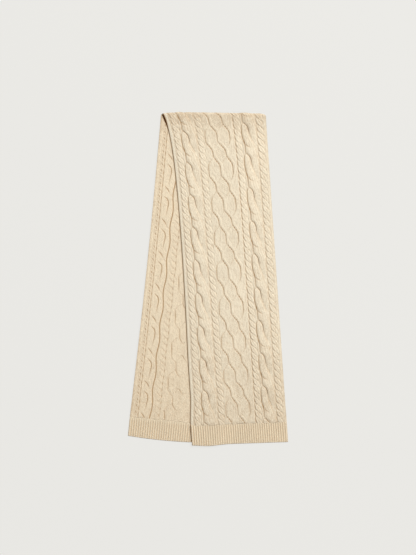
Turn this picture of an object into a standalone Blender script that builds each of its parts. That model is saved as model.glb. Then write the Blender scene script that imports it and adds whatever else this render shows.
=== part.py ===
"""Cable-knit scarf, folded in half across its width and laid flat on a surface.

Metres, +X to the right, +Y towards the fold, +Z up. The scarf lies on the plane Z = 0. The lower half lies
wrong side up and leans to the left, and the upper half lies on it, right side up, and leans to the right.
Each stretch of the cloth is one wall: its outer points carry the cables, ropes, lattice and ribs, over a
plain inside. Across the cloth, s runs from its left edge. Along each half, t runs from the fold to the hem.
"""

import math
from collections import namedtuple

import bmesh
import bpy

MM = 0.001

# The cloth
CLOTH_WIDTH = 261.4 * MM
UPPER_LEAN = math.radians(3.87)
LOWER_LEAN = math.radians(-5.90)
UPPER_START = (-102.4 * MM, 462.8 * MM)
LOWER_START = (-130.6 * MM, 461.9 * MM)
FOLD_MIDDLE = (14.7 * MM, 462.5 * MM)
FOLD_TILT = math.radians(-1.015)
SEAM_GAP = 0.3 * MM
CREAM = (0.80, 0.70, 0.52)

# Where each stretch ends, as t along the left edge and how much further down it is along the right edge
UPPER_SEAM = 39.0 * MM
LOWER_SEAM = 11.0 * MM
UPPER_RIB_START, UPPER_RIB_SKEW = 871.5 * MM, 8.0 * MM
UPPER_RIB_END, UPPER_END_SKEW, UPPER_END_BULGE = 926.8 * MM, 9.0 * MM, 3.5 * MM
BULGE_AT, BULGE_WIDTH = 0.17, 0.12
LOWER_RIB_START = 848.5 * MM
LOWER_RIB_END, LOWER_END_SLOPE, LOWER_END_CURVE = 902.5 * MM, 17.0 * MM, -25.0 * MM

# How the edges wander from straight lines
FAN, FAN_FADE = 13.9 * MM, 106.0 * MM
EAR, EAR_WIDTH, EAR_FADE = 10.6 * MM, 22.0 * MM, 39.0 * MM
HEM_FLARE, HEM_FLARE_LENGTH, HEM_FLARE_SKEW = 5.3 * MM, 80.0 * MM, 1.1
UPPER_WAIST, UPPER_WAIST_LENGTH, UPPER_WAIST_POWER = 4.2 * MM, 700.0 * MM, 7
LOWER_WAIST = 4.2 * MM
LOWER_FAN, LOWER_FAN_LEAD = 16.0 * MM, 26.0 * MM
CORNER_DIP = 3.0 * MM

# Heights of the wall's outer points over its plain inside
GROOVE = 2.2 * MM
EDGE_BAND = 3.0 * MM
ROPE_CREST, ROPE_FLANK_DROP, ROPE_TWIST_HEIGHT = 4.0 * MM, 0.3 * MM, 0.8 * MM
CABLE_CREST, CABLE_UNDER, CABLE_VALLEY = 5.4 * MM, 4.0 * MM, 3.4 * MM
LATTICE_CREST, LATTICE_UNDER, LATTICE_FLANK, LATTICE_CELL = 4.8 * MM, 4.2 * MM, 3.0 * MM, 3.2 * MM
REVERSE_TOP, REVERSE_GROOVE = 3.7 * MM, 2.8 * MM
HIDDEN_TOP, HIDDEN_EDGE, HIDDEN_TAPER = 3.4 * MM, 2.2 * MM, 25.0 * MM
RIB_CREST, RIB_GROOVE = 4.0 * MM, 2.6 * MM
RIM_DROP = 0.8 * MM

# Rows of points along the cloth, two to a rope's twist
ROW = 9.03 * MM
RIB_COUNT_UPPER, RIB_COUNT_LOWER = 42, 40
RIB_ROWS = (0.0, 0.5, 0.96, 1.0)
FOLD_ROWS = (0.0, 0.25, 0.5, 0.75, 1.0)
NOSE_TURNS = (1 / 6, 1 / 3, 1 / 2, 2 / 3, 5 / 6, 1.0)

# Bands across the cloth: left and right edge, length of a repeat and place of the first crossing, in mm
Band = namedtuple("Band", "kind left right repeat first")
BANDS = (
    Band("rope", 8.4, 29.5, 18.06, 0.0),
    Band("cable", 29.5, 73.2, 90.3, 47.3),
    Band("rope", 73.2, 93.3, 18.06, 6.0),
    Band("lattice", 93.3, 173.4, 95.1, 87.7),
    Band("rope", 173.4, 195.7, 18.06, 3.0),
    Band("cable", 195.7, 235.5, 91.2, 39.5),
    Band("rope", 235.5, 255.0, 18.06, 9.0),
)
# Lengthwise grooves of the wrong side: place across, how far it swings to each side, how often, where first
# (mm), and its share of the full depth
Groove = namedtuple("Groove", "place swing repeat first share")
REVERSE_GROOVES = (
    Groove(10.5, 0.0, 90.3, 0.0, 0.3),
    Groove(22.3, 0.0, 90.3, 0.0, 1.0),
    Groove(59.0, 3.4, 90.3, 95.0, 1.0),
    Groove(79.3, 0.0, 90.3, 0.0, 0.7),
    Groove(101.0, 6.0, 95.1, 60.0, 1.0),
    Groove(128.0, 6.0, 95.1, 110.0, 0.9),
    Groove(156.0, 6.0, 95.1, 60.0, 0.9),
)
BANK_LEFT, BANK_RIGHT = 4.0 * MM, 3.0 * MM
HIDDEN_FROM, HIDDEN_BLEND = 12.0 * MM, 10.0 * MM

# Shares of a rope's width where its three points lie, and how much of a twist it turns across its width
ROPE_PLACES, ROPE_SLANT = (0.27, 0.5, 0.73), 0.5
# Shares of a cable's width and repeat
CABLE_PLACES = (0.2, 0.36, 0.5, 0.66, 0.83)
STRAND_LEFT, STRAND_RIGHT, STRAND_HALF = 0.29, 0.73, 0.27
CROSSING, SWELL, SWELL_AT = 0.56, 0.04, 0.35
# Shares of the lattice's width: strands that run apart, that touch, a strand's half width, the least wall
LATTICE_OUTER, LATTICE_MIDDLE, LATTICE_TOUCH = 0.065, 0.5, 0.045
LATTICE_LEFT_PAIR, LATTICE_RIGHT_PAIR = 0.28, 0.72
LATTICE_HALF, LATTICE_EDGE, LATTICE_GUTTER = 0.062, 0.007, 0.008
# Shares of the lattice's repeat: strands have met, start to part, have parted
MET, PARTING, PARTED = 0.31, 0.47, 0.72

# How the upper half lies over the lower one, and the fold's round back
OVERLAP_LIFT = 4.3 * MM
DRAPE_BEFORE, DRAPE_LENGTH = 25.0 * MM, 62.0 * MM
HEM_DROOP, DROOP_LENGTH = 0.35, 25.0 * MM
PUFF, PUFF_LENGTH = 4.0 * MM, 30.0 * MM
NOSE_RADIUS, NOSE_INNER = 6.0 * MM, 2.3 * MM


def smooth(x):
    """0 below 0, 1 above 1 and an even S between."""
    x = min(max(x, 0.0), 1.0)
    return x * x * (3 - 2 * x)


def lerp(a, b, share):
    return a + (b - a) * share


# Plans: where a point of the flat cloth comes to lie


def upper_plan(s, t):
    """(x, y) of the upper half's point: fanned out near the fold, a waist on the left, a flared hem."""
    share = s / CLOTH_WIDTH
    across = s - FAN * (1 - share**4) * math.exp(-t / FAN_FADE)
    across -= EAR * math.exp(-s / EAR_WIDTH) * math.exp(-t / EAR_FADE)
    waist = UPPER_WAIST * math.sin(math.pi * min(max(t / UPPER_WAIST_LENGTH, 0.0), 1.0))
    across += waist * (1 - share) ** UPPER_WAIST_POWER
    flare = smooth((t - UPPER_RIB_START + HEM_FLARE_LENGTH) / HEM_FLARE_LENGTH)
    across += HEM_FLARE * flare * (HEM_FLARE_SKEW * share - 1) * abs(2 * share - 1)
    return place(UPPER_START, UPPER_LEAN, across, t)


def lower_plan(s, t):
    """(x, y) of the lower half's point: a slightly narrow waist, fanned to the right under the fold."""
    share = s / CLOTH_WIDTH
    waist = LOWER_WAIST * math.sin(math.pi * min(max(t / LOWER_RIB_START, 0.0), 1.0))
    across = s + waist * (1 - share) ** 2 + lower_fan(t) * share**3
    return place(LOWER_START, LOWER_LEAN, across, t)


def lower_fan(t):
    """How far the lower half's right edge lies out from its straight line."""
    return LOWER_FAN * math.exp(-(t + LOWER_FAN_LEAD) / FAN_FADE)


def place(start, lean, across, along):
    x = start[0] + across * math.cos(lean) + along * math.sin(lean)
    y = start[1] + across * math.sin(lean) - along * math.cos(lean)
    return x, y


def from_fold(x, y):
    """How far a point lies on the hems' side of the fold line."""
    return (FOLD_MIDDLE[0] - x) * math.sin(-FOLD_TILT) + (FOLD_MIDDLE[1] - y) * math.cos(FOLD_TILT)


def corner_dip(s):
    return CORNER_DIP * (1 - s / CLOTH_WIDTH) ** 6


def meets_fold(plan, s, depth):
    """The t at which this lengthwise line of the cloth lies at a depth from the fold line."""
    t = 0.0
    for _ in range(6):
        t += depth + corner_dip(s) - from_fold(*plan(s, t))
    return t


def past_lower_edge(x, y):
    """How far a point lies to the right of the lower half's right edge, and past its hem."""
    dx, dy = x - LOWER_START[0], y - LOWER_START[1]
    across = dx * math.cos(LOWER_LEAN) + dy * math.sin(LOWER_LEAN)
    along = dx * math.sin(LOWER_LEAN) - dy * math.cos(LOWER_LEAN)
    return across - CLOTH_WIDTH - lower_fan(along), along - LOWER_RIB_END


def lift(x, y):
    """Height of the upper half's plain inside: over the lower half, down beside it, puffed at the fold."""
    side, end = past_lower_edge(x, y)
    over = 1 - smooth((side + DRAPE_BEFORE) / DRAPE_LENGTH)
    droop = 1 - HEM_DROOP * smooth(end / DROOP_LENGTH)
    near_fold = math.exp(-((max(from_fold(x, y), 0.0) / PUFF_LENGTH) ** 2))
    return OVERLAP_LIFT * lerp(over * droop, 1.0, near_fold) + PUFF * near_fold


# Knit sections: across the cloth at a given t, as (s, height over the plain inside)


def rope(left, right, t, repeat, first):
    """Three points over a small twisted rope, higher where a twist crosses, and the gutter on its left."""
    points = [(left, GROOVE)]
    for share in ROPE_PLACES:
        turn = (t - first) / repeat - ROPE_SLANT * share
        crest = ROPE_CREST - ROPE_FLANK_DROP * abs(2 * share - 1)
        points.append((lerp(left, right, share), crest + ROPE_TWIST_HEIGHT * math.cos(math.tau * turn)))
    return points


def cable(left, right, t, repeat, first):
    """A two-strand cable: once a repeat the left strand crosses over the right one."""
    width = right - left
    phase = (t - first) / repeat % 1.0
    crossing = smooth(min((phase + CROSSING / 2) % 1.0 / CROSSING, 1.0)) % 1.0
    over_centre = lerp(STRAND_LEFT, STRAND_RIGHT, crossing)
    under_centre = lerp(STRAND_RIGHT, STRAND_LEFT, crossing)
    under_crest = lerp(CABLE_CREST, CABLE_UNDER, math.sin(math.pi * crossing))
    swell = SWELL * width * math.cos(math.tau * (phase - SWELL_AT))
    points = [(left + SWELL * width - swell, GROOVE)]
    for share in CABLE_PLACES:
        height = CABLE_VALLEY
        for centre, crest in ((over_centre, CABLE_CREST), (under_centre, under_crest)):
            height = max(height, crest - (crest - GROOVE) * ((share - centre) / STRAND_HALF) ** 2)
        points.append((left + share * width, height))
    return points


def lattice(left, right, t, repeat, first):
    """Four zigzag strands that meet in pairs and part again round staggered cells."""
    phase = (t - first) / repeat % 1.0
    meet = smooth(phase / MET) - smooth((phase - PARTING) / (PARTED - PARTING))
    leading_right = (True, False, True, False) if phase < PARTING else (False, True, False, True)
    strands = (
        (LATTICE_OUTER, LATTICE_LEFT_PAIR - LATTICE_TOUCH),
        (LATTICE_MIDDLE - LATTICE_TOUCH, LATTICE_LEFT_PAIR + LATTICE_TOUCH),
        (LATTICE_MIDDLE + LATTICE_TOUCH, LATTICE_RIGHT_PAIR - LATTICE_TOUCH),
        (1 - LATTICE_OUTER, LATTICE_RIGHT_PAIR + LATTICE_TOUCH),
    )
    centres = [lerp(apart, together, meet) for apart, together in strands]
    walls = [LATTICE_EDGE] + [(a + b) / 2 for a, b in zip(centres, centres[1:])] + [1 - LATTICE_EDGE]
    points = [(left, GROOVE)]
    for index, centre in enumerate(centres):
        # The strand that leads down to the right lies on top of the one that leads to the left.
        on_top = LATTICE_CREST if leading_right[index] else LATTICE_UNDER
        low = max(centre - LATTICE_HALF, walls[index] + LATTICE_GUTTER)
        high = min(centre + LATTICE_HALF, walls[index + 1] - LATTICE_GUTTER)
        points.append((lerp(left, right, low), LATTICE_FLANK))
        points.append((lerp(left, right, centre), lerp(LATTICE_CREST, on_top, 4 * meet * (1 - meet))))
        points.append((lerp(left, right, high), LATTICE_CELL))
    return points


KNITS = {"rope": rope, "cable": cable, "lattice": lattice}


def right_side(t):
    """The section of the cabled cloth, from its left edge to its right one."""
    points = [(0.0, EDGE_BAND - RIM_DROP), (0.5 * BANDS[0].left * MM, EDGE_BAND)]
    for band in BANDS:
        points += KNITS[band.kind](band.left * MM, band.right * MM, t, band.repeat * MM, band.first * MM)
    return points + [(BANDS[-1].right * MM, GROOVE), (CLOTH_WIDTH, EDGE_BAND - RIM_DROP)]


def wrong_side(t):
    """The muted section of the lower half, plain where the upper half hides it."""
    points = [(0.0, REVERSE_TOP - RIM_DROP)]
    hidden_from = HIDDEN_FROM + t * math.tan(UPPER_LEAN - LOWER_LEAN)
    for groove in REVERSE_GROOVES:
        turn = (t - groove.first * MM) / (groove.repeat * MM)
        centre = (groove.place + groove.swing * math.sin(math.tau * turn)) * MM
        shown = 1 - smooth((centre - hidden_from) / HIDDEN_BLEND)
        depth = lerp(HIDDEN_TOP, lerp(REVERSE_TOP, REVERSE_GROOVE, groove.share), shown)
        bank = lerp(HIDDEN_TOP, REVERSE_TOP, shown)
        points += [(centre - BANK_LEFT, bank), (centre, depth), (centre + BANK_RIGHT, bank)]
    return points + [(CLOTH_WIDTH - HIDDEN_TAPER, HIDDEN_TOP), (CLOTH_WIDTH, HIDDEN_EDGE)]


def tapered_top(s):
    """The highest that the lower half may reach: it thins out towards its hidden right edge."""
    return lerp(RIB_CREST, HIDDEN_EDGE, smooth((s - CLOTH_WIDTH + HIDDEN_TAPER) / HIDDEN_TAPER))


def ribs(count):
    """The section of a rib band: a rounded ridge for each rib, with a groove between."""
    points = [(0.0, RIB_CREST - RIM_DROP)]
    for rib in range(count):
        for share, height in ((0.3, RIB_CREST), (0.7, RIB_CREST), (1.0, RIB_GROOVE)):
            points.append(((rib + share) / count * CLOTH_WIDTH, height))
    points[-1] = (CLOTH_WIDTH, RIB_CREST - RIM_DROP)
    return points


# Walls


def zip_rim(bm, fine, coarse):
    """Closes the strip between two lines of corners that run the same way."""
    i = j = 0
    while i < len(fine) - 1 or j < len(coarse) - 1:
        fine_is_behind = (i + 1) / (len(fine) - 1) <= (j + 1) / (len(coarse) - 1)
        if j == len(coarse) - 1 or (i < len(fine) - 1 and fine_is_behind):
            bm.faces.new((fine[i], fine[i + 1], coarse[j]))
            i += 1
        else:
            bm.faces.new((fine[i], coarse[j + 1], coarse[j]))
            j += 1


def loft(bm, rows):
    """A skin through rows of points. Returns its corners, row by row."""
    corners = [[bm.verts.new(point) for point in row] for row in rows]
    for upper, lower in zip(corners, corners[1:]):
        for k in range(len(upper) - 1):
            bm.faces.new((upper[k], upper[k + 1], lower[k + 1], lower[k]))
    return corners


def wall(name, outer_rows, inner_rows, material, collection):
    """One closed wall between a shaped outer skin and a plain, coarser inner one."""
    bm = bmesh.new()
    outer, inner = loft(bm, outer_rows), loft(bm, inner_rows)
    for end in (0, -1):
        zip_rim(bm, outer[end], inner[end])
        zip_rim(bm, [row[end] for row in outer], [row[end] for row in inner])
    bmesh.ops.recalc_face_normals(bm, faces=bm.faces)
    mesh = bpy.data.meshes.new(name)
    bm.to_mesh(mesh)
    bm.free()
    mesh.shade_smooth()
    mesh.set_sharp_from_angle(angle=math.radians(50))
    mesh.materials.append(material)
    collection.objects.link(bpy.data.objects.new(name, mesh))


def level(t):
    return lambda s: t


def upper_rib_line(s):
    return UPPER_RIB_START + UPPER_RIB_SKEW * s / CLOTH_WIDTH


def upper_end_line(s):
    share = s / CLOTH_WIDTH
    bulge = math.exp(-(((share - BULGE_AT) / BULGE_WIDTH) ** 2))
    return UPPER_RIB_END + UPPER_END_SKEW * share + UPPER_END_BULGE * bulge


def lower_end_line(s):
    share = s / CLOTH_WIDTH
    return LOWER_RIB_END + LOWER_END_SLOPE * share + LOWER_END_CURVE * share**2


def between(first, last, share):
    """A crosswise line of the cloth, as t for each s, part of the way from one line to another.

    Both ends stop half a seam gap short of the lines they are given."""
    return lambda s: lerp(first(s) + SEAM_GAP / 2, last(s) - SEAM_GAP / 2, share)


def upper_row(section, t_of):
    points = []
    for s, height in section:
        x, y = upper_plan(s, t_of(s))
        points.append((x, y, lift(x, y) + height))
    return points


def lower_row(section, t_of):
    return [(*lower_plan(s, t_of(s)), min(height, tapered_top(s))) for s, height in section]


def inside_places(t_of):
    """Where the upper half's plain inside has its corners: closest on the slope beside the lower half."""
    crest = CLOTH_WIDTH
    for _ in range(6):
        crest -= past_lower_edge(*upper_plan(crest, t_of(crest)))[0] + DRAPE_BEFORE
    room = CLOTH_WIDTH - crest
    slope = [crest + min(k * DRAPE_LENGTH / 4, k * room / 5) for k in range(5)]
    return [(s, 0.0) for s in (0.0, 0.5 * crest, *slope, CLOTH_WIDTH)]


def flat_places():
    return [(k * CLOTH_WIDTH / 4, 0.0) for k in range(5)]


def front_panel(material, collection):
    count = round((UPPER_RIB_START - UPPER_SEAM) / ROW)
    outer, inner = [], []
    for k in range(count + 1):
        t_of = between(level(UPPER_SEAM), upper_rib_line, k / count)
        outer.append(upper_row(right_side(t_of(0.5 * CLOTH_WIDTH)), t_of))
        if k % 2 == 0 or k == count:
            inner.append(upper_row(inside_places(t_of), t_of))
    wall("front_panel", outer, inner, material, collection)


def back_panel(material, collection):
    count = round((LOWER_RIB_START - LOWER_SEAM) / (1.5 * ROW))
    outer, inner = [], []
    for k in range(count + 1):
        t_of = between(level(LOWER_SEAM), level(LOWER_RIB_START), k / count)
        outer.append(lower_row(wrong_side(t_of(0.0)), t_of))
        if k % 6 == 0 or k == count:
            inner.append(lower_row(flat_places(), t_of))
    wall("back_panel", outer, inner, material, collection)


def front_rib_hem(material, collection):
    outer, inner = [], []
    for share in RIB_ROWS:
        t_of = between(upper_rib_line, upper_end_line, share)
        drop = RIM_DROP if share == 1.0 else 0.0
        outer.append(upper_row([(s, h - drop) for s, h in ribs(RIB_COUNT_UPPER)], t_of))
        inner.append(upper_row(inside_places(t_of), t_of))
    wall("front_rib_hem", outer, inner, material, collection)


def back_rib_hem(material, collection):
    outer, inner = [], []
    for share in RIB_ROWS:
        t_of = between(level(LOWER_RIB_START), lower_end_line, share)
        drop = RIM_DROP if share == 1.0 else 0.0
        outer.append(lower_row([(s, h - drop) for s, h in ribs(RIB_COUNT_LOWER)], t_of))
        inner.append(lower_row(flat_places(), t_of))
    wall("back_rib_hem", outer, inner, material, collection)


def towards_nose(share):
    """A crosswise line part of the way from the upper seam to where the cloth starts to turn over."""
    return lambda s: lerp(UPPER_SEAM - SEAM_GAP / 2, meets_fold(upper_plan, s, NOSE_RADIUS), share)


def nose_row(section, turn, is_outer):
    """Points round the fold's back: turn runs from 0 on top to 1 underneath."""
    points = []
    for s, height in section:
        upper = upper_plan(s, meets_fold(upper_plan, s, NOSE_RADIUS))
        lower = lower_plan(s, meets_fold(lower_plan, s, NOSE_RADIUS))
        middle = lift(*upper) - NOSE_INNER
        radius = lerp(NOSE_INNER + height, middle if is_outer else NOSE_INNER, smooth(turn))
        back = radius * math.sin(math.pi * turn)
        x = lerp(upper[0], lower[0], turn) + back * math.sin(-FOLD_TILT)
        y = lerp(upper[1], lower[1], turn) + back * math.cos(FOLD_TILT)
        points.append((x, y, middle + radius * math.cos(math.pi * turn)))
    return points


def top_fold(material, collection):
    """The turn of the cloth: upper layer, round back and the layer that lies underneath."""
    places = inside_places(level(UPPER_SEAM))
    outer, inner = [], []
    for k, share in enumerate(FOLD_ROWS):
        t_of = towards_nose(share)
        section = right_side(t_of(0.5 * CLOTH_WIDTH))
        outer.append(upper_row(section, t_of))
        if k % 2 == 0:
            inner.append(upper_row(places, t_of))
    for turn in NOSE_TURNS:
        outer.append(nose_row(section, turn, True))
        if turn > NOSE_TURNS[0]:
            inner.append(nose_row(places, turn, False))
    end = level(LOWER_SEAM - SEAM_GAP / 2)
    outer.append(lower_row([(s, 0.0) for s, _ in section], end))
    inner.append(lower_row([(s, HIDDEN_TOP) for s, _ in places], end))
    wall("top_fold", outer, inner, material, collection)


def knit_material(name, colour):
    material = bpy.data.materials.new(name)
    material.use_nodes = True
    shader = material.node_tree.nodes["Principled BSDF"]
    shader.inputs["Base Color"].default_value = (*colour, 1.0)
    shader.inputs["Roughness"].default_value = 0.9
    shader.inputs["Metallic"].default_value = 0.0
    return material


def main():
    for leftover in list(bpy.data.objects):
        bpy.data.objects.remove(leftover)
    collection = bpy.data.collections.new("cable_knit_scarf")
    bpy.context.scene.collection.children.link(collection)
    cabled = knit_material("cable_knit", CREAM)
    ribbed = knit_material("rib_knit", CREAM)
    top_fold(cabled, collection)
    front_panel(cabled, collection)
    back_panel(cabled, collection)
    front_rib_hem(ribbed, collection)
    back_rib_hem(ribbed, collection)


main()
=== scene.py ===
# %% [markdown]
# # A cable-knit scarf, folded in half and laid flat
#
# The real scarf is one long strip of cotton knitting: cables, small ropes and a honeycomb lattice over a
# plain ground, with a ribbed band at each end. It lies folded across its middle, so the upper half shows
# its right side and the lower half shows a wedge of its wrong side.
#
# A knitter makes the strip flat and only then folds it. This script works in the same order. Every piece
# is first knitted in cloth coordinates: s across the strip from its left edge, t along it from the fold to
# the hem, and the height over the plain inside. Then one function lays it down, and gives the strip its
# lean, the fan near the fold, the slope down to the table and the round back of the fold.

# %% Load the frame
import math

import bmesh
import bpy
import numpy as np
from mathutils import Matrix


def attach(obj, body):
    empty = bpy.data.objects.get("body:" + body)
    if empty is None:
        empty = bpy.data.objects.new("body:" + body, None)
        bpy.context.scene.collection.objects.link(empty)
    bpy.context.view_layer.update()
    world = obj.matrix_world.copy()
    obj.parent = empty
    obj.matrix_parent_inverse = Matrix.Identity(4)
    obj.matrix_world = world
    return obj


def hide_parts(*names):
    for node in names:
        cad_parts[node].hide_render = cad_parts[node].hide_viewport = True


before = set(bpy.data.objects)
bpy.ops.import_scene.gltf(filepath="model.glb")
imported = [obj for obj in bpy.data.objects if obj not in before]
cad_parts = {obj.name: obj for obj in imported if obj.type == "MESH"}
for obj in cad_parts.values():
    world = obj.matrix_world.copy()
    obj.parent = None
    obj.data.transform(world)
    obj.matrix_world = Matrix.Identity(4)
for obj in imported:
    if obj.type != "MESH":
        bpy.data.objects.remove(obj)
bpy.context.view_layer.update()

# %% [markdown]
# ## The sizes of the cloth
#
# These are the real sizes, the same as in the solids, so that each piece lies where its solid does. The
# plain ends of the strip aren't quite straight: the hem of the upper half bulges near its left corner, and
# the hem of the lower half runs in a shallow curve.

# %% Sizes
MM = 0.001
WIDTH = 261.4 * MM
UPPER_LEAN, LOWER_LEAN = math.radians(3.87), math.radians(-5.90)
UPPER_START, LOWER_START = (-102.4 * MM, 462.8 * MM), (-130.6 * MM, 461.9 * MM)
FOLD_MIDDLE, FOLD_TILT = (14.7 * MM, 462.5 * MM), math.radians(-1.015)

UPPER_RIB_START, UPPER_RIB_SKEW = 871.5 * MM, 8.0 * MM
UPPER_END, UPPER_END_SKEW, UPPER_END_BULGE = 926.8 * MM, 9.0 * MM, 3.5 * MM
BULGE_AT, BULGE_WIDTH = 0.17, 0.12
LOWER_RIB_START = 848.5 * MM
LOWER_END, LOWER_END_SLOPE, LOWER_END_CURVE = 902.5 * MM, 17.0 * MM, -25.0 * MM

FAN, FAN_FADE = 13.9 * MM, 106.0 * MM
EAR, EAR_WIDTH, EAR_FADE = 10.6 * MM, 22.0 * MM, 39.0 * MM
HEM_FLARE, HEM_FLARE_LENGTH, HEM_FLARE_SKEW = 5.3 * MM, 80.0 * MM, 1.1
UPPER_WAIST, UPPER_WAIST_LENGTH, UPPER_WAIST_POWER = 4.2 * MM, 700.0 * MM, 7
LOWER_WAIST, LOWER_FAN, LOWER_FAN_LEAD = 4.2 * MM, 16.0 * MM, 26.0 * MM
CORNER_DIP = 3.0 * MM

OVERLAP_LIFT = 4.3 * MM
DRAPE_BEFORE, DRAPE_LENGTH = 25.0 * MM, 62.0 * MM
HEM_DROOP, DROOP_LENGTH = 0.35, 25.0 * MM
PUFF, PUFF_LENGTH = 4.0 * MM, 30.0 * MM
NOSE_RADIUS, NOSE_INNER, NOSE_ARC, NOSE_SQUASH = 6.0 * MM, 2.3 * MM, 15.0 * MM, 0.6
EDGE_TAPER, EDGE_TOP, HIDDEN_EDGE = 25.0 * MM, 4.0 * MM, 2.2 * MM

print("The strip is", WIDTH, "m wide, and its upper half", UPPER_END, "m long")

# %% [markdown]
# ## Laying the strip down
#
# `upper_plan` and `lower_plan` say where a point of each half comes to lie, seen from above. They work on
# whole arrays at once, because a knitted piece has over a hundred thousand points.

# %% From cloth coordinates to the table
def smooth(x):
    """0 below 0, 1 above 1 and an even S between."""
    x = np.clip(x, 0.0, 1.0)
    return x * x * (3 - 2 * x)


def lerp(a, b, share):
    return a + (b - a) * share


def place(start, lean, across, along):
    x = start[0] + across * math.cos(lean) + along * math.sin(lean)
    y = start[1] + across * math.sin(lean) - along * math.cos(lean)
    return x, y


def lower_fan(t):
    return LOWER_FAN * np.exp(-(t + LOWER_FAN_LEAD) / FAN_FADE)


def upper_plan(s, t):
    share = s / WIDTH
    across = s - FAN * (1 - share**4) * np.exp(-t / FAN_FADE)
    across = across - EAR * np.exp(-s / EAR_WIDTH) * np.exp(-t / EAR_FADE)
    waist = UPPER_WAIST * np.sin(math.pi * np.clip(t / UPPER_WAIST_LENGTH, 0.0, 1.0))
    across = across + waist * np.clip(1 - share, 0.0, None) ** UPPER_WAIST_POWER
    flare = smooth((t - UPPER_RIB_START + HEM_FLARE_LENGTH) / HEM_FLARE_LENGTH)
    across = across + HEM_FLARE * flare * (HEM_FLARE_SKEW * share - 1) * abs(2 * share - 1)
    return place(UPPER_START, UPPER_LEAN, across, t)


def lower_plan(s, t):
    share = s / WIDTH
    waist = LOWER_WAIST * np.sin(math.pi * np.clip(t / LOWER_RIB_START, 0.0, 1.0))
    return place(LOWER_START, LOWER_LEAN, s + waist * (1 - share) ** 2 + lower_fan(t) * share**3, t)


print("The upper half's left corner at its hem, mm:", np.round(np.array(upper_plan(0.0, UPPER_END)) / MM, 1))

# %% [markdown]
# ## How high the strip lies
#
# At the fold both halves end on its round back, and `turns_over` finds where each of them meets it. `lift` is
# the height of the upper half's inside: it rests on the lower half, slopes down to the table beside it, and
# is puffed up near the fold, where the cloth doesn't want to crease.

# %% The fold's line and the height over the table
def from_fold(x, y):
    """How far a point lies on the hems' side of the fold line."""
    return (FOLD_MIDDLE[0] - x) * math.sin(-FOLD_TILT) + (FOLD_MIDDLE[1] - y) * math.cos(FOLD_TILT)


def turns_over(plan):
    """For points across the strip, the t at which that half meets the fold's round back."""
    s = np.linspace(-20 * MM, WIDTH + 20 * MM, 160)
    t = np.zeros_like(s)
    dip = CORNER_DIP * np.clip(1 - s / WIDTH, 0.0, 1.0) ** 6
    for _ in range(8):
        t = t + NOSE_RADIUS + dip - from_fold(*plan(s, t))
    return s, t


UPPER_TURN, LOWER_TURN = turns_over(upper_plan), turns_over(lower_plan)


def lift(x, y):
    dx, dy = x - LOWER_START[0], y - LOWER_START[1]
    across = dx * math.cos(LOWER_LEAN) + dy * math.sin(LOWER_LEAN)
    along = dx * math.sin(LOWER_LEAN) - dy * math.cos(LOWER_LEAN)
    over = 1 - smooth((across - WIDTH - lower_fan(along) + DRAPE_BEFORE) / DRAPE_LENGTH)
    droop = 1 - HEM_DROOP * smooth((along - LOWER_END) / DROOP_LENGTH)
    near_fold = np.exp(-((np.maximum(from_fold(x, y), 0.0) / PUFF_LENGTH) ** 2))
    return OVERLAP_LIFT * lerp(over * droop, 1.0, near_fold) + PUFF * near_fold


print("The upper half turns over at t, mm:", (UPPER_TURN[1][[20, 80, 140]] / MM).round(1))

# %% [markdown]
# ## Laying points down
#
# `lay_upper` and `lay_lower` take points in cloth coordinates and give back where they lie in the world.
# Every piece below ends with one of them, so that all pieces bend in the same way and fit each other.

# %% Laying points down, and the lines of the ribbing and the hems
def lay_upper(cloth):
    """Points of the upper half, and of the fold's round back where t is less than where it turns over."""
    s, t, height = cloth.T
    turn_t = np.interp(s, *UPPER_TURN)
    x, y = upper_plan(s, np.maximum(t, turn_t))
    middle = lift(x, y) - NOSE_INNER
    turn = np.clip((turn_t - t) / NOSE_ARC, 0.0, 1.0)
    under_x, under_y = lower_plan(s, np.interp(s, *LOWER_TURN))
    radius = NOSE_INNER + height * lerp(1.0, NOSE_SQUASH, smooth(turn))
    back = radius * np.sin(math.pi * turn)
    x = lerp(x, under_x, turn) + back * math.sin(-FOLD_TILT)
    y = lerp(y, under_y, turn) + back * math.cos(FOLD_TILT)
    return np.stack([x, y, middle + radius * np.cos(math.pi * turn)], axis=1)


def lay_lower(cloth):
    """Points of the lower half, which thins out towards its hidden right edge."""
    s, t, height = cloth.T
    x, y = lower_plan(s, t)
    top = lerp(EDGE_TOP, HIDDEN_EDGE, smooth((s - WIDTH + EDGE_TAPER) / EDGE_TAPER))
    return np.stack([x, y, np.where(s > WIDTH - EDGE_TAPER, np.minimum(height, top), height)], axis=1)


def upper_rib_line(s):
    return UPPER_RIB_START + UPPER_RIB_SKEW * s / WIDTH


def upper_end_line(s):
    share = s / WIDTH
    bulge = np.exp(-(((share - BULGE_AT) / BULGE_WIDTH) ** 2))
    return UPPER_END + UPPER_END_SKEW * share + UPPER_END_BULGE * bulge


def lower_rib_line(s):
    return LOWER_RIB_START + 0.0 * s


def lower_end_line(s):
    share = s / WIDTH
    return LOWER_END + LOWER_END_SLOPE * share + LOWER_END_CURVE * share**2


print("The lower half's hem at its left corner has t, mm:", float(lower_end_line(0.0)) / MM)

# %% [markdown]
# ## Node trees, one node at a time
#
# The stitches repeat thousands of times, so Geometry Nodes make them, and the yarn's finish is a node tree
# too. A tree is hard to read as a list of nodes and links. `Tree` is a small helper for both kinds: every
# method adds one node and gives back its output, so a formula in the tree reads almost like a formula in
# Python. `Recipe` is a tree that makes a shape. Its sizes are named inputs, so one recipe serves cables,
# ropes, ribs and edges.

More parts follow.
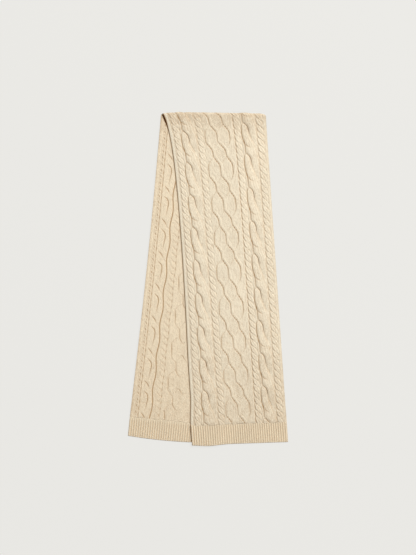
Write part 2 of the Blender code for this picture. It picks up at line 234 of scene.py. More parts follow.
# %% A helper for any node tree
class Tree:
    """A node tree in the making. Its tree is set by the kinds of tree below."""

    def feed(self, socket, value):
        if isinstance(value, bpy.types.NodeSocket):
            self.tree.links.new(value, socket)
        else:
            socket.default_value = value

    def node(self, kind, settings=None, **values):
        node = self.tree.nodes.new(kind)
        for key, value in (settings or {}).items():
            setattr(node, key, value)
        for key, value in values.items():
            self.feed(node.inputs[key.replace("_", " ")], value)
        return node

    def math(self, operation, *values):
        node = self.tree.nodes.new("ShaderNodeMath")
        node.operation = operation
        for socket, value in zip(node.inputs, values):
            self.feed(socket, value)
        return node.outputs[0]

    def plus(self, first, second):
        return self.math("ADD", first, second)

    def minus(self, first, second):
        return self.math("SUBTRACT", first, second)

    def times(self, first, second):
        return self.math("MULTIPLY", first, second)


print("A tree has", [word for word in vars(Tree) if not word.startswith("_")])

# %% [markdown]
# ## A tree that makes a shape
#
# A recipe is put on an object as a modifier and its result is taken off as a plain mesh. The modifier
# itself is removed at once, so the piece keeps nothing but its mesh.

# %% A helper for recipes, and one that runs them
class Recipe(Tree):
    """A Geometry Nodes tree."""

    def __init__(self, name, **inputs):
        self.tree = bpy.data.node_groups.new(name, "GeometryNodeTree")
        self.tree.is_modifier = True
        face = self.tree.interface
        face.new_socket("Geometry", in_out="INPUT", socket_type="NodeSocketGeometry")
        face.new_socket("Geometry", in_out="OUTPUT", socket_type="NodeSocketGeometry")
        for label, kind in inputs.items():
            face.new_socket(label.replace("_", " "), in_out="INPUT", socket_type="NodeSocket" + kind)
        self.inputs = self.tree.nodes.new("NodeGroupInput").outputs

    def vector(self, operation, first, second=None, scale=None):
        node = self.tree.nodes.new("ShaderNodeVectorMath")
        node.operation = operation
        self.feed(node.inputs[0], first)
        if second is not None:
            self.feed(node.inputs[1], second)
        if scale is not None:
            self.feed(node.inputs["Scale"], scale)
        return node.outputs[0]

    def store(self, geometry, name, value, data_type="FLOAT", domain="POINT"):
        settings = {"data_type": data_type, "domain": domain}
        kind = "GeometryNodeStoreNamedAttribute"
        return self.node(kind, settings, Geometry=geometry, Name=name, Value=value).outputs[0]

    def finish(self, geometry):
        """Ends the tree as the export needs it: instances made real, and the material set."""
        real = self.node("GeometryNodeRealizeInstances", Geometry=geometry).outputs[0]
        dressed = self.node("GeometryNodeSetMaterial", Geometry=real, Material=self.inputs["Material"])
        output = self.tree.nodes.new("NodeGroupOutput")
        self.tree.links.new(dressed.outputs[0], output.inputs[0])
        print(f"{self.tree.name}: {len(self.tree.nodes)} nodes")
        return self.tree


def run_recipe(source, tree, **values):
    """The mesh that a tree makes from an object, with its inputs set by their identifiers."""
    modifier = source.modifiers.new("recipe", "NODES")
    modifier.node_group = tree
    for item in tree.interface.items_tree:
        key = item.name.replace(" ", "_")
        if item.in_out == "INPUT" and key in values:
            modifier[item.identifier] = values[key]
    graph = bpy.context.evaluated_depsgraph_get()
    graph.update()
    mesh = bpy.data.meshes.new_from_object(source.evaluated_get(graph))
    source.modifiers.remove(modifier)
    return mesh


# %% [markdown]
# ## The knitted strand
#
# A cable, a rope, a rib and a bound-off edge are all the same thing: a narrow band of knit stitches that
# follows a path. Each stitch is a V of two legs, and the legs of one column nest into those of the next
# row.
#
# The tree takes a path, with a half width and a crown height at each of its points. It makes a tube with
# four points to a stitch round its top, and one flat face underneath, where the strand meets the ground.
# Then it moves each point: along the path by its row, across by its column, up by the strand's round crown
# and by the leg's own relief. The middle of each column is pushed ahead along the path, which bends the
# straight rows into Vs.

# %% The tube of stitches and its relief
POINTS_PER_STITCH, POINTS_PER_ROW = 4, 3
# How much of a stitch's relief is its two legs, and the rest is the hump of its whole column
LEG_SHARE = 0.6


def stitch_tube(r, path):
    """A tube with a point for each place in the pattern, its counts each way, and a point's own place."""
    length = r.node("GeometryNodeCurveLength", Curve=path).outputs[0]
    rows = r.math("MAXIMUM", r.math("ROUND", r.math("DIVIDE", length, r.inputs["Row Height"])), 1.0)
    around = r.plus(r.times(r.inputs["Stitches"], POINTS_PER_STITCH), 1.0)
    tube = r.node(
        "GeometryNodeMeshCylinder",
        {"fill_type": "NGON"},
        Vertices=around,
        Side_Segments=r.times(rows, POINTS_PER_ROW),
        Radius=1.0,
        Depth=1.0,
    ).outputs["Mesh"]
    where = r.node("ShaderNodeSeparateXYZ", Vector=r.node("GeometryNodeInputPosition").outputs[0]).outputs
    angle = r.math("DIVIDE", r.math("ARCTAN2", where["Y"], where["X"]), math.tau)
    turn = r.math("FRACT", r.plus(angle, 1.001))
    column = r.math("FLOOR", r.plus(r.times(turn, around), 0.5))
    row = r.times(r.plus(where["Z"], 0.5), rows)
    return tube, rows, around, column, row


def stitch_relief(r, stitch, row):
    """How high the yarn stands, 0 to 1, and how near it is to the middle of its column."""
    from_middle = r.math("ABSOLUTE", r.minus(r.math("FRACT", stitch), 0.5))
    leg = r.math("ABSOLUTE", r.math("SINE", r.times(stitch, math.tau)))
    loop = r.math("ABSOLUTE", r.math("SINE", r.times(row, math.pi)))
    dip = r.times(r.inputs["Row Dip"], r.minus(1.0, loop))
    inward = r.minus(1.0, r.times(from_middle, 2.0))
    legs = r.times(leg, r.minus(1.0, dip))
    return r.plus(r.times(legs, LEG_SHARE), r.times(inward, 1 - LEG_SHARE)), inward


def read_path(r, path, factor, names):
    """The path's own outputs at a share of its length, and the values that it carries there."""
    values = []
    for name in names:
        carried = r.node("GeometryNodeInputNamedAttribute", {"data_type": "FLOAT"}, Name=name)
        sample = r.node("GeometryNodeSampleCurve", {"data_type": "FLOAT"}, Curves=path, Factor=factor)
        r.feed(sample.inputs["Value"], carried.outputs["Attribute"])
        values.append(sample.outputs["Value"])
    return sample.outputs, values


print("Points to a stitch:", POINTS_PER_STITCH, "across and", POINTS_PER_ROW, "along")

# %% [markdown]
# ## The whole recipe
#
# A strand's crown is round: full in the middle and falling to the ground at both sides, more steeply on
# the side where it lies over its neighbour. Before the points move, the tree notes two things for the
# yarn's finish: the place in the stitch pattern as a UV map, and how `hollow` a point lies between its
# neighbours. The order matters, because columns and rows are read from where the points are on the tube.

# %% The tree for a knitted strand
STITCH_SHADE, EDGE_SHADE = 0.39, 0.50


def strand_recipe():
    sizes = ("Row_Height", "Leg_Height", "Row_Dip", "Slant", "Level", "Left_Side", "Right_Side")
    r = Recipe("Knitted Strand", Stitches="Int", **{size: "Float" for size in sizes}, Material="Material")
    path = r.node("GeometryNodeMeshToCurve", Mesh=r.inputs["Geometry"]).outputs[0]
    tube, rows, around, column, row = stitch_tube(r, path)
    stitch = r.math("DIVIDE", column, POINTS_PER_STITCH)
    relief, inward = stitch_relief(r, stitch, row)

    # Where the point belongs on the path. The middle of a column is pushed ahead, which makes the V.
    ahead = r.times(r.inputs["Slant"], inward)
    factor = r.math("DIVIDE", r.plus(row, ahead), rows)
    there, (half_width, crown, tilt) = read_path(r, path, factor, ("half_width", "crown", "tilt"))
    square = r.vector("NORMALIZE", r.vector("CROSS_PRODUCT", (0.0, 0.0, -1.0), there["Tangent"]))
    level = r.node("ShaderNodeCombineXYZ", X=r.inputs["Level"]).outputs[0]
    side = r.vector("NORMALIZE", r.vector("ADD", square, level))

    # How far across it lies, -1 to 1, and how high the round crown is there.
    across = r.minus(r.math("DIVIDE", r.times(column, 2.0), r.minus(around, 1.0)), 1.0)
    on_left = r.math("LESS_THAN", across, 0.0)
    left_part = r.times(r.inputs["Left Side"], on_left)
    right_part = r.times(r.inputs["Right Side"], r.minus(1.0, on_left))
    fall = r.math("POWER", r.math("ABSOLUTE", across), r.plus(left_part, right_part))
    round_top = r.math("POWER", r.minus(1.0, r.math("MINIMUM", fall, 1.0)), 0.5)
    tilted = r.times(round_top, r.plus(r.times(tilt, across), 1.0))
    height = r.plus(r.times(crown, tilted), r.times(r.inputs["Leg Height"], relief))
    sideways = r.vector("SCALE", side, scale=r.times(across, half_width))
    upwards = r.node("ShaderNodeCombineXYZ", Z=height).outputs[0]
    place_on_strand = r.vector("ADD", r.vector("ADD", there["Position"], sideways), upwards)

    # Note the pattern and the hollows first, and move the points last.
    pattern = r.node("ShaderNodeCombineXYZ", X=stitch, Y=row).outputs[0]
    edge = r.times(r.minus(1.0, round_top), EDGE_SHADE)
    deep = r.plus(r.minus(STITCH_SHADE, r.times(relief, STITCH_SHADE * 1.1)), edge)
    mapped = r.store(tube, "UVMap", pattern, "FLOAT2", "CORNER")
    noted = r.store(mapped, "hollow", deep)
    return r.finish(r.node("GeometryNodeSetPosition", Geometry=noted, Position=place_on_strand).outputs[0])


STRAND = strand_recipe()

# %% [markdown]
# ## From paths to pieces
#
# `knit_strand` turns one path into a mesh that is still flat, in cloth coordinates. `gather` puts the
# strands of one kind together as a single object and lays them down. The object keeps its origin at the
# world's origin, and all of its place is in its points.

# %% A helper that knits a strand
ROW_HEIGHT = 3.01 * MM
STITCH_WIDTH = 4.18 * MM
LEG_HEIGHT = 1.1 * MM
STRAND_FLOOR = 1.1 * MM
FURROW_DEPTH, FURROW_FADE = 1.0 * MM, 2.4 * MM
# How unevenly the stitches lie: a patch's size across and along, its rise, and how much lighter it is
UNEVEN = (
    (1.6 * MM, 12.0 * MM, 0.10 * MM, 0.10),
    (2.3 * MM, 3.6 * MM, 0.40 * MM, 0.14),
    (8.0 * MM, 8.0 * MM, 0.12 * MM, 0.05),
)
NOISE = np.random.default_rng(5).uniform(-1, 1, (97, 389))
# Painted shade: darker near the fold, where the cloth turns away from the light, and towards the hems,
# farther
# from the light: places along the cloth, and how much
SHADE_ALONG_AT, SHADE_ALONG = (0.0, 0.02, 0.05, 0.12, 0.55, 0.87), (0.27, 0.23, 0.10, 0.0, 0.0, 0.17)
# How far the yarn sinks between two rows, how far ahead a V's middle reaches in rows, and how much a strand's
# sides lie square to the cloth rather than to its path
ROW_DIP, SLANT, LEVEL = 0.55, 0.9, 3.0


def knit_strand(path, half_width, crown, stitches, material, tilt=0.0, sides=(5.0, 2.2), **changes):
    """A flat strand of stitches along a path of (s, t, height) points."""
    count = len(path)
    line = bpy.data.meshes.new("path")
    line.from_pydata([tuple(p) for p in path], [(i, i + 1) for i in range(count - 1)], [])
    for name, values in (("half_width", half_width), ("crown", crown), ("tilt", tilt)):
        attribute = line.attributes.new(name, "FLOAT", "POINT")
        attribute.data.foreach_set("value", np.broadcast_to(values, count).astype(np.float32))
    source = bpy.data.objects.new("path", line)
    bpy.context.scene.collection.objects.link(source)
    values = {
        "Stitches": stitches,
        "Row_Height": ROW_HEIGHT,
        "Leg_Height": LEG_HEIGHT,
        "Row_Dip": ROW_DIP,
        "Slant": SLANT,
        "Level": LEVEL,
        "Left_Side": sides[0],
        "Right_Side": sides[1],
        "Material": material,
    }
    mesh = run_recipe(source, STRAND, **(values | changes))
    bpy.data.objects.remove(source)
    bpy.data.meshes.remove(line)
    return mesh


def points_of(mesh):
    points = np.empty(3 * len(mesh.vertices))
    mesh.vertices.foreach_get("co", points)
    return points.reshape(-1, 3)


print("Legs stand", round(LEG_HEIGHT / MM, 2), "mm high over a row of", round(ROW_HEIGHT / MM, 2), "mm")

# %% [markdown]
# ## No two stitches alike
#
# Rows of perfect stitches look like printed plastic. Soft random patches make the cloth rise and fall a
# little, and lighten or darken it. The same step cuts the furrows, which later cells note down.

# %% Unevenness and depth
def read_hollow(mesh):
    hollow = np.empty(len(mesh.vertices), dtype=np.float32)
    mesh.attributes["hollow"].data.foreach_get("value", hollow)
    return hollow


def write_hollow(mesh, hollow):
    mesh.attributes["hollow"].data.foreach_set("value", hollow.astype(np.float32))


def uneven(s, t, size_across, size_along):
    """Soft patches of the given size, -1 to 1."""
    u, v = s / size_across, t / size_along
    i, j = np.floor(u).astype(int), np.floor(v).astype(int)
    across, along = NOISE.shape

    def noise_row(k):
        return lerp(NOISE[i % across, k % along], NOISE[(i + 1) % across, k % along], smooth(u - i))

    return lerp(noise_row(j), noise_row(j + 1), smooth(v - j))


def settled(points, hollow, depth=0.0, loose=1.0, tone=1.0):
    """Flat points as they really lie: no stitch is quite like the next, and furrows of the given depth are
    cut into them and painted darker. The underside stays where it is. Gives back how hollow each point has
    become, with `tone` times the painted shade near the fold and towards the hems."""
    s, t, height = points.T
    rise = -FURROW_DEPTH * depth
    # Painted shade along the cloth, near the fold and towards the hems
    hollow = hollow + tone * np.interp(t, SHADE_ALONG_AT, SHADE_ALONG)
    for size_across, size_along, bump, shade in UNEVEN:
        patches = uneven(s, t, size_across, size_along)
        rise = rise + loose * bump * patches
        hollow = hollow - loose * shade * patches
    points[:, 2] += rise * np.clip((height - STRAND_FLOOR) / FURROW_FADE, 0, 1)
    # The furrows' depth is painted as shade as well as cut
    return np.maximum(np.clip(hollow, 0, 1), depth)


print("Noise:", NOISE.shape, "values for patches of", len(UNEVEN), "sizes")

# %% [markdown]
# ## One object from many strands
#
# Joining goes through bmesh, which adds one mesh to another and keeps their UV maps and attributes. A last
# look at the normals makes sure that all faces point outwards.

# %% Helpers that make the finished objects
def finished(name, mesh, parts):
    """The object of a mesh, with its faces turned outwards and shaded smooth."""
    bm = bmesh.new()
    bm.from_mesh(mesh)
    bmesh.ops.recalc_face_normals(bm, faces=bm.faces)
    bm.to_mesh(mesh)
    bm.free()
    mesh.shade_smooth()
    piece = bpy.data.objects.new(name, mesh)
    bpy.context.scene.collection.objects.link(piece)
    triangles = sum(len(p.vertices) - 2 for p in mesh.polygons)
    print(f"{name}: {parts}, {triangles} triangles")
    return piece


def gather(name, meshes, lay, material, marks=None, **settling):
    """One object from flat meshes, with furrows cut and painted shade added by marks(s, t), laid down by the
    given function.
    """
    bm = bmesh.new()
    for mesh in meshes:
        bm.from_mesh(mesh)
    whole = bpy.data.meshes.new(name)
    bm.to_mesh(whole)
    bm.free()
    whole.materials.append(material)
    whole.polygons.foreach_set("material_index", np.zeros(len(whole.polygons), dtype=np.int32))
    points = points_of(whole)
    depth = marks(points[:, 0], points[:, 1]) if marks else 0.0
    write_hollow(whole, settled(points, read_hollow(whole), depth, **settling))
    whole.vertices.foreach_set("co", lay(points).ravel())
    return finished(name, whole, f"{len(meshes)} parts")


print(round(1 / ROW_HEIGHT), "rows to a metre, and", round(WIDTH / STITCH_WIDTH), "stitches across the cloth")

# %% [markdown]
# ## The yarn
#
# The yarn is a matt, cream cotton of a few plies, with a little fuzz that catches the light at a low
# angle. One material serves every piece, with small changes of tone. It follows the stitches: the UV map
# counts columns and rows, so the plies can be drawn slanting along both legs of each V. The `hollow`
# attribute is painted shade: it says how deep a point lies between the stitches, where less light gets in,
# and the colour is painted warmer and darker there. Later cells add more painted shade to it, and take
# some away for a painted highlight.

# %% The yarn's material
CREAM = (0.885, 0.785, 0.612)
# SHADE is painted shade: the warm, dark colour that the yarn gets where `hollow` says less light gets in
SHADE = (0.385, 0.208, 0.072)
# DARKEST is painted shade too, almost black, for the fold's dark wedge, where `hollow` goes over 1
DARKEST = (0.11, 0.026, 0.002)
# How soon the yarn darkens with `hollow`, and how far it goes
SHADE_POWER, SHADE_SHARE = 1.25, 0.9
# Blotches of some cm and yarns of a few mm: how fine each noise is, and how much it lightens
BLOTCHES, YARNS = (14.0, 0.10), (420.0, 0.16)
# How many plies a row has along the strand and a stitch has across it, and how fine the fibres are
PLIES_ALONG, PLIES_ACROSS, FIBRES = 2.0, 7.0, 1600.0
# Strength and height of the bumps
PLY_BUMP, FIBRE_BUMP = (0.45, 0.14 * MM), (0.5, 0.25 * MM)


class Finish(Tree):
    """A material's node tree."""

    def __init__(self, name):
        self.material = bpy.data.materials.new(name)
        self.material.use_nodes = True
        self.tree = self.material.node_tree
        self.shader = self.tree.nodes["Principled BSDF"]

    def mix(self, factor, first, second):
        node = self.tree.nodes.new("ShaderNodeMix")
        node.data_type = "RGBA"
        self.feed(node.inputs[0], factor)
        self.feed(node.inputs[6], first)
        self.feed(node.inputs[7], second)
        return node.outputs[2]


print("The yarn's colour is", CREAM, "and its shade is", SHADE)

# %% [markdown]
# ## The yarn's colour and relief
#
# The colour follows the depth between the stitches. The relief is two bumps, one on the other: the plies,
# which need the pattern of the stitches, and the fibres, which are plain noise in the object's own
# coordinates.

# %% The yarn's finishes
def yarn_colour(f, place_in, hollow, tint):
    """Painted shade: darker and warmer in the hollows, almost black in the fold's dark wedge (hollow over 1),
    with faint blotches.
    """
    cream, shade = (tuple(c * t for c, t in zip(colour, tint)) + (1.0,) for colour in (CREAM, SHADE))
    depth = f.times(f.math("POWER", f.math("MINIMUM", hollow, 1.1), SHADE_POWER), SHADE_SHARE)
    colour = f.mix(depth, cream, shade)
    colour = f.mix(f.minus(hollow, 1.0), colour, DARKEST + (1.0,))
    (blotch_size, blotch_light), (yarn_size, yarn_light) = BLOTCHES, YARNS
    blotches = f.node("ShaderNodeTexNoise", Vector=place_in, Scale=blotch_size, Detail=3.0).outputs[0]
    yarns = f.node("ShaderNodeTexNoise", Vector=place_in, Scale=yarn_size, Detail=2.0).outputs[0]
    blotched = f.plus(f.times(blotches, blotch_light), f.times(yarns, yarn_light))
    light = f.plus(blotched, 1.0 - (blotch_light + yarn_light) / 2)
    bright = f.node("ShaderNodeVectorMath", {"operation": "SCALE"}, Vector=colour)
    f.feed(bright.inputs["Scale"], light)
    return bright.outputs[0]


def yarn_relief(f, place_in, fibres):
    """Plies that slant along each leg of the V, and the fibres on them."""
    pattern = f.node("ShaderNodeUVMap", {"uv_map": "UVMap"}).outputs[0]
    stitch, row = (f.node("ShaderNodeSeparateXYZ", Vector=pattern).outputs[k] for k in (0, 1))
    from_middle = f.math("ABSOLUTE", f.minus(f.math("FRACT", stitch), 0.5))
    twist = f.plus(f.times(row, PLIES_ALONG), f.times(from_middle, PLIES_ACROSS))
    plies = f.math("SINE", f.times(twist, math.tau))
    strength, height = PLY_BUMP
    plied = f.node("ShaderNodeBump", Strength=strength, Distance=height, Height=plies).outputs[0]
    strength, height = FIBRE_BUMP
    fuzzy = f.node("ShaderNodeBump", Strength=strength, Distance=height, Height=fibres, Normal=plied)
    return fuzzy.outputs[0]


def yarn_finish(name, tint):
    f = Finish(name)
    place_in = f.node("ShaderNodeTexCoord").outputs["Object"]
    hollow = f.node("ShaderNodeAttribute", {"attribute_name": "hollow"}).outputs["Fac"]
    fibres = f.node("ShaderNodeTexNoise", Vector=place_in, Scale=FIBRES, Detail=3.0).outputs[0]
    look = {
        "Base Color": yarn_colour(f, place_in, hollow, tint),
        "Normal": yarn_relief(f, place_in, fibres),
        "Roughness": f.plus(f.times(fibres, 0.12), 0.82),
        "Specular IOR Level": 0.25,
        "Sheen Weight": 0.12,
        "Sheen Roughness": 0.45,
        "Sheen Tint": (1.0, 0.95, 0.86, 1.0),
    }
    for label, value in look.items():
        f.feed(f.shader.inputs[label], value)
    print(f"{name}: {len(f.tree.nodes)} nodes")
    return f.material


CABLED_YARN = yarn_finish("cream_cotton_cabled", (1.01, 1.015, 1.02))
GROUND_YARN = yarn_finish("cream_cotton_ground", (0.98, 0.985, 0.99))
WRONG_SIDE_YARN = yarn_finish("cream_cotton_wrong_side", (0.985, 0.955, 0.92))
RIB_YARN = yarn_finish("cream_cotton_rib", (1.02, 1.005, 0.975))

# %% [markdown]
# ## Furrows
#
# What draws a cable on a one-coloured cloth is the thin dark furrow along the edge of its upper strand:
# a shallow groove with painted shade in it. So every strand notes a furrow along its left edge, the side
# away from the light, with how deep it is at each place. All furrows then cut into whatever lies there and
# paint it darker: the strand, the one beneath it and the ground beside it. Short creases, where a crossing
# pulls, are noted as they repeat along the cloth, and are cut and painted in the same way.

# %% Lines that cut into the cloth
FURROWS, CREASES = [], []
FURROW_REACH = 1.5 * MM
# Hand-worked rows are never quite even, so each band's pattern drifts: these are the places along the cloth,
# in mm, for which a band says how many mm it has drifted there
DRIFT_AT = (40, 100, 150, 280, 430, 580, 750, 830)


def between(s, left, right, soft):
    """1 between two places and 0 beyond them, with soft steps."""
    return smooth((s - left) / soft + 0.5) - smooth((s - right) / soft + 0.5)


def drifted(t, drift):
    """Where a place along the cloth would lie if its rows were even."""
    return t - np.interp(t / MM, DRIFT_AT, drift) * MM


def note_furrow(t, s, strength, reach=FURROW_REACH):
    slope = np.gradient(s, t)
    FURROWS.append((t, s, np.broadcast_to(strength, len(t)), reach * np.hypot(1.0, slope)))


def crease(s, t, points, reach, repeat, first):
    """How deep a repeated crease is. Its points are (s, t past the first, strength), in mm."""
    local = (t - first + repeat / 2) % repeat - repeat / 2
    depth = np.zeros_like(s)
    for (s0, t0, strength0), (s1, t1, strength1) in zip(points, points[1:]):
        middle = (t0 + t1) / 2 * MM
        here = (local - middle + repeat / 2) % repeat - repeat / 2 + middle
        ds, dt = (s1 - s0) * MM, (t1 - t0) * MM
        share = np.clip(((s - s0 * MM) * ds + (here - t0 * MM) * dt) / (ds * ds + dt * dt), 0.0, 1.0)
        distance = np.hypot(s - s0 * MM - share * ds, here - t0 * MM - share * dt)
        depth = np.maximum(depth, lerp(strength0, strength1, share) * np.exp(-((distance / reach) ** 2)))
    return depth


def front_marks(s, t):
    depth = np.zeros_like(s)
    for along, across, strength, reach in FURROWS:
        away = (s - np.interp(t, along, across)) / np.interp(t, along, reach)
        depth = np.maximum(depth, np.interp(t, along, strength) * np.exp(-(away**2)))
    for drift, *marks in CREASES:
        depth = np.maximum(depth, crease(s, drifted(t, drift), *marks))
    return depth


print("Furrows reach", FURROW_REACH / MM, "mm to each side and are", FURROW_DEPTH / MM, "mm deep")

# %% [markdown]
# ## The big cables
#
# A cable is two strands of stitches that change places: every thirty rows the left strand is laid over the
# right one. Between the crossings the left strand swells into a long leaf and leans on its neighbour. Each
# strand is one path for the whole length of the cloth, and its crown is high where it goes over and low
# where it goes under.

# %% Where the cables lie, and the course of a strand
# Left and right edge, length of a repeat, place of the first crossing and drift, all in mm
CABLE_BANDS = (
    (29.5, 73.2, 90.3, 51.3, (1, -1, -3, -3, -2, 0, 0, 0)),
    (195.7, 235.5, 91.2, 46.0, (-6, -12, -12, -7, -7, -4, -3, -4)),
)
# One strand from where it comes out of a crossing to the same place two repeats later, at shares of a repeat:
# (share, left edge, right edge, height above the others in mm, tilt to the left, furrow on its left)
CABLE_TABLE = (
    (0.00, 0.16, 0.43, -1.6, 0.00, 0.3),
    (0.06, 0.07, 0.42, -0.9, 0.00, 0.7),
    (0.12, 0.025, 0.42, -0.2, 0.00, 0.9),
    (0.22, 0.00, 0.45, 0.3, 0.05, 1.0),
    (0.40, -0.005, 0.50, 0.6, 0.08, 1.0),
    (0.53, 0.03, 0.58, 0.8, 0.05, 1.1),
    (0.64, 0.085, 0.68, 1.0, 0.00, 1.15),
    (0.73, 0.13, 0.825, 1.0, 0.00, 1.1),
    (0.79, 0.13, 0.88, 1.0, 0.00, 0.9),
    (0.95, 0.125, 0.99, 1.0, 0.00, 0.85),
    (1.00, 0.135, 1.00, 1.0, 0.00, 0.8),
    (1.045, 0.228, 1.015, 0.9, 0.05, 0.8),
    (1.10, 0.343, 1.025, 0.8, 0.10, 0.9),
    (1.175, 0.43, 1.035, 0.5, 0.20, 0.85),
    (1.26, 0.46, 1.05, 0.2, 0.30, 0.3),
    (1.40, 0.48, 1.05, 0.0, 0.35, 0.0),
    (1.53, 0.53, 1.04, -0.2, 0.35, 0.0),
    (1.66, 0.61, 1.03, -0.6, 0.30, 0.0),
    (1.75, 0.70, 1.02, -1.3, 0.20, 0.0),
    (1.84, 0.70, 0.995, -2.0, 0.00, 0.0),
    (1.93, 0.45, 0.88, -2.2, 0.00, 0.0),
    (2.00, 0.16, 0.43, -1.6, 0.00, 0.3),
)
print("Cables are", [round(right - left, 1) for left, right, *_ in CABLE_BANDS], "mm wide")

# %% [markdown]
# ## From the table to a cable
#
# Both strands of a cable read the same table, the second one a repeat later, so they pass over and under
# each other by themselves. `softened` rounds the table's corners, because yarn doesn't bend in a point. At
# the ribbing the crown sinks a little, where the cloth is pulled flat.

# %% The cables
CABLE_STITCHES, CABLE_CROWN, CABLE_SOFTNESS = 5, 3.4 * MM, 3.0 * MM
# How steeply a strand falls on its left and right, where a low number is a gentle slope
CABLE_SIDES = (4.5, 2.6)
# The crease where the strands dive into a crossing: (share of the band, share of the repeat, strength)
CABLE_CREASE = ((0.16, -0.26, 1.0), (0.33, -0.185, 0.85), (0.50, -0.14, 0.5))
PATH_STEP = 2.0 * MM
# The strands run this far into the ribbing, and over this length they sink to this share of their height
HEM_TUCK, HEM_FLATTEN, HEM_CROWN = 2.0 * MM, 9.0 * MM, 0.75


def fold_start(s):
    """The t at which the upper half begins, under the fold."""
    return float(np.interp(s, *UPPER_TURN)) - NOSE_ARC


def along_band(s):
    """The places along the cloth at which a path has its points, from under the fold to the ribbing."""
    start, end = fold_start(s), float(upper_rib_line(s)) + HEM_TUCK
    return np.linspace(start, end, int((end - start) / PATH_STEP))


def flattened(crown, t):
    """A crown that sinks into the ribbing at its end."""
    return crown * lerp(HEM_CROWN, 1.0, smooth((t[-1] - t) / HEM_FLATTEN))


def softened(values, t, reach):
    """A line with its corners rounded over a given reach."""
    half = max(1, round(reach / (t[1] - t[0])))
    window = np.hanning(2 * half + 3)[1:-1]
    return np.convolve(np.pad(values, half, mode="edge"), window / window.sum(), mode="valid")


def level_path(s, t, height=STRAND_FLOOR):
    return np.stack([s, t, np.full_like(t, height)], axis=1)


def cable_strand(left, right, repeat, first, drift, which):
    left, right = left * MM, right * MM
    t = along_band((left + right) / 2)
    share = ((drifted(t, drift) / MM - first) / repeat + which) % 2
    at, *columns = np.array(CABLE_TABLE).T
    read = (softened(np.interp(share, at, values), t, CABLE_SOFTNESS) for values in columns)
    left_edge, right_edge, above, tilt, line = read
    left_edge, right_edge = lerp(left, right, left_edge), lerp(left, right, right_edge)
    note_furrow(t, left_edge, line)
    crown = flattened(CABLE_CROWN + above * MM, t)
    path = level_path((left_edge + right_edge) / 2, t)
    half_width = (right_edge - left_edge) / 2
    return knit_strand(path, half_width, crown, CABLE_STITCHES, CABLED_YARN, tilt, CABLE_SIDES)


def cable_crease(left, right, repeat, first, drift):
    points = [(lerp(left, right, s), repeat * t, strength) for s, t, strength in CABLE_CREASE]
    CREASES.append((drift, points, FURROW_REACH, repeat * MM, first * MM))


for band in CABLE_BANDS:
    cable_crease(*band)
cable_strands = [cable_strand(*band, which) for band in CABLE_BANDS for which in (0, 1)]
print(len(cable_strands), "cable strands, and", len(FURROWS), "furrows so far")

# %% [markdown]
# ## The small ropes
#
# A rope crosses every six rows, which is so often that its two strands never lie straight: they wind round
# each other like a laid rope. As with the cables, one table tells the whole story of a strand. It comes
# out at the rope's left border, runs down beside the gutter of purl stitches, crosses over the other
# strand in a short stroke to the right, and goes back beneath it.

# %% Where the ropes lie, and the course of a strand
# (share of a repeat, left edge and right edge in mm from the border, height above in mm, furrow)
ROPE_TABLE = (
    (0.00, -0.3, 9.0, -1.0, 0.5),
    (0.12, -0.6, 10.0, -0.4, 0.9),
    (0.45, 0.0, 12.5, 0.1, 1.0),
    (0.80, 1.2, 16.5, 0.3, 1.0),
    (1.00, 2.6, 19.0, 0.3, 0.8),
    (1.12, 5.0, 19.3, 0.3, 0.55),
    (1.35, 9.6, 19.3, 0.2, 0.5),
    (1.58, 14.0, 19.3, -0.2, 0.3),
    (1.72, 13.0, 19.0, -1.0, 0.0),
    (1.88, 5.0, 14.0, -1.6, 0.0),
    (2.00, -0.3, 9.0, -1.0, 0.5),
)
# For each rope: its border, repeat and the place of a crossing in mm; the gutter's strength; how strong its
# strokes are at STROKES_AT; and its drift
STROKES_AT = (60, 250, 500, 800)
ROPES = (
    (10.0, 18.25, 4.6, 0.55, (0.55, 1.0, 1.0, 0.6), (11, 8, 3, 1, 0, 2, 0, -7)),
    (73.2, 18.36, 17.8, 0.8, (0.75, 0.7, 1.15, 1.2), (6, 4, 2, 1, 0, 1, -1, -5)),
    (176.0, 18.39, 17.3, 1.0, (0.45, 0.6, 1.0, 1.15), (4, -1, -2, 0, 0, 1, -2, -5)),
    (235.2, 18.42, 14.7, 0.85, (1.1, 0.7, 0.9, 1.1), (-3, -3, -1, -1, -1, 0, -1, -2)),
)
print("Ropes have their left border at", [border for border, *_ in ROPES], "mm")

# %% [markdown]
# ## From the table to a rope
#
# A rope is made as a cable is, with two strands that read one table. What it has of its own is a second,
# fainter furrow: a rope's strand is two stitches wide, and the line between them shows where it crosses over.

# %% The ropes
ROPE_STITCHES, ROPE_CROWN, ROPE_SIDES = 2, 2.7 * MM, (6.0, 6.0)
ROPE_SOFTNESS, ROPE_LINE = 2.2 * MM, 1.1 * MM
# Up to this share of a repeat the furrow runs along the border and has the gutter's own strength
GUTTER_ENDS = 1.0
# The line between a strand's two columns of stitches, and the shares of a repeat where it shows
ROPE_COLUMNS_LINE, ROPE_COLUMNS_SHOW, ROPE_COLUMNS_SOFT = 0.4, (0.55, 1.25), 0.2


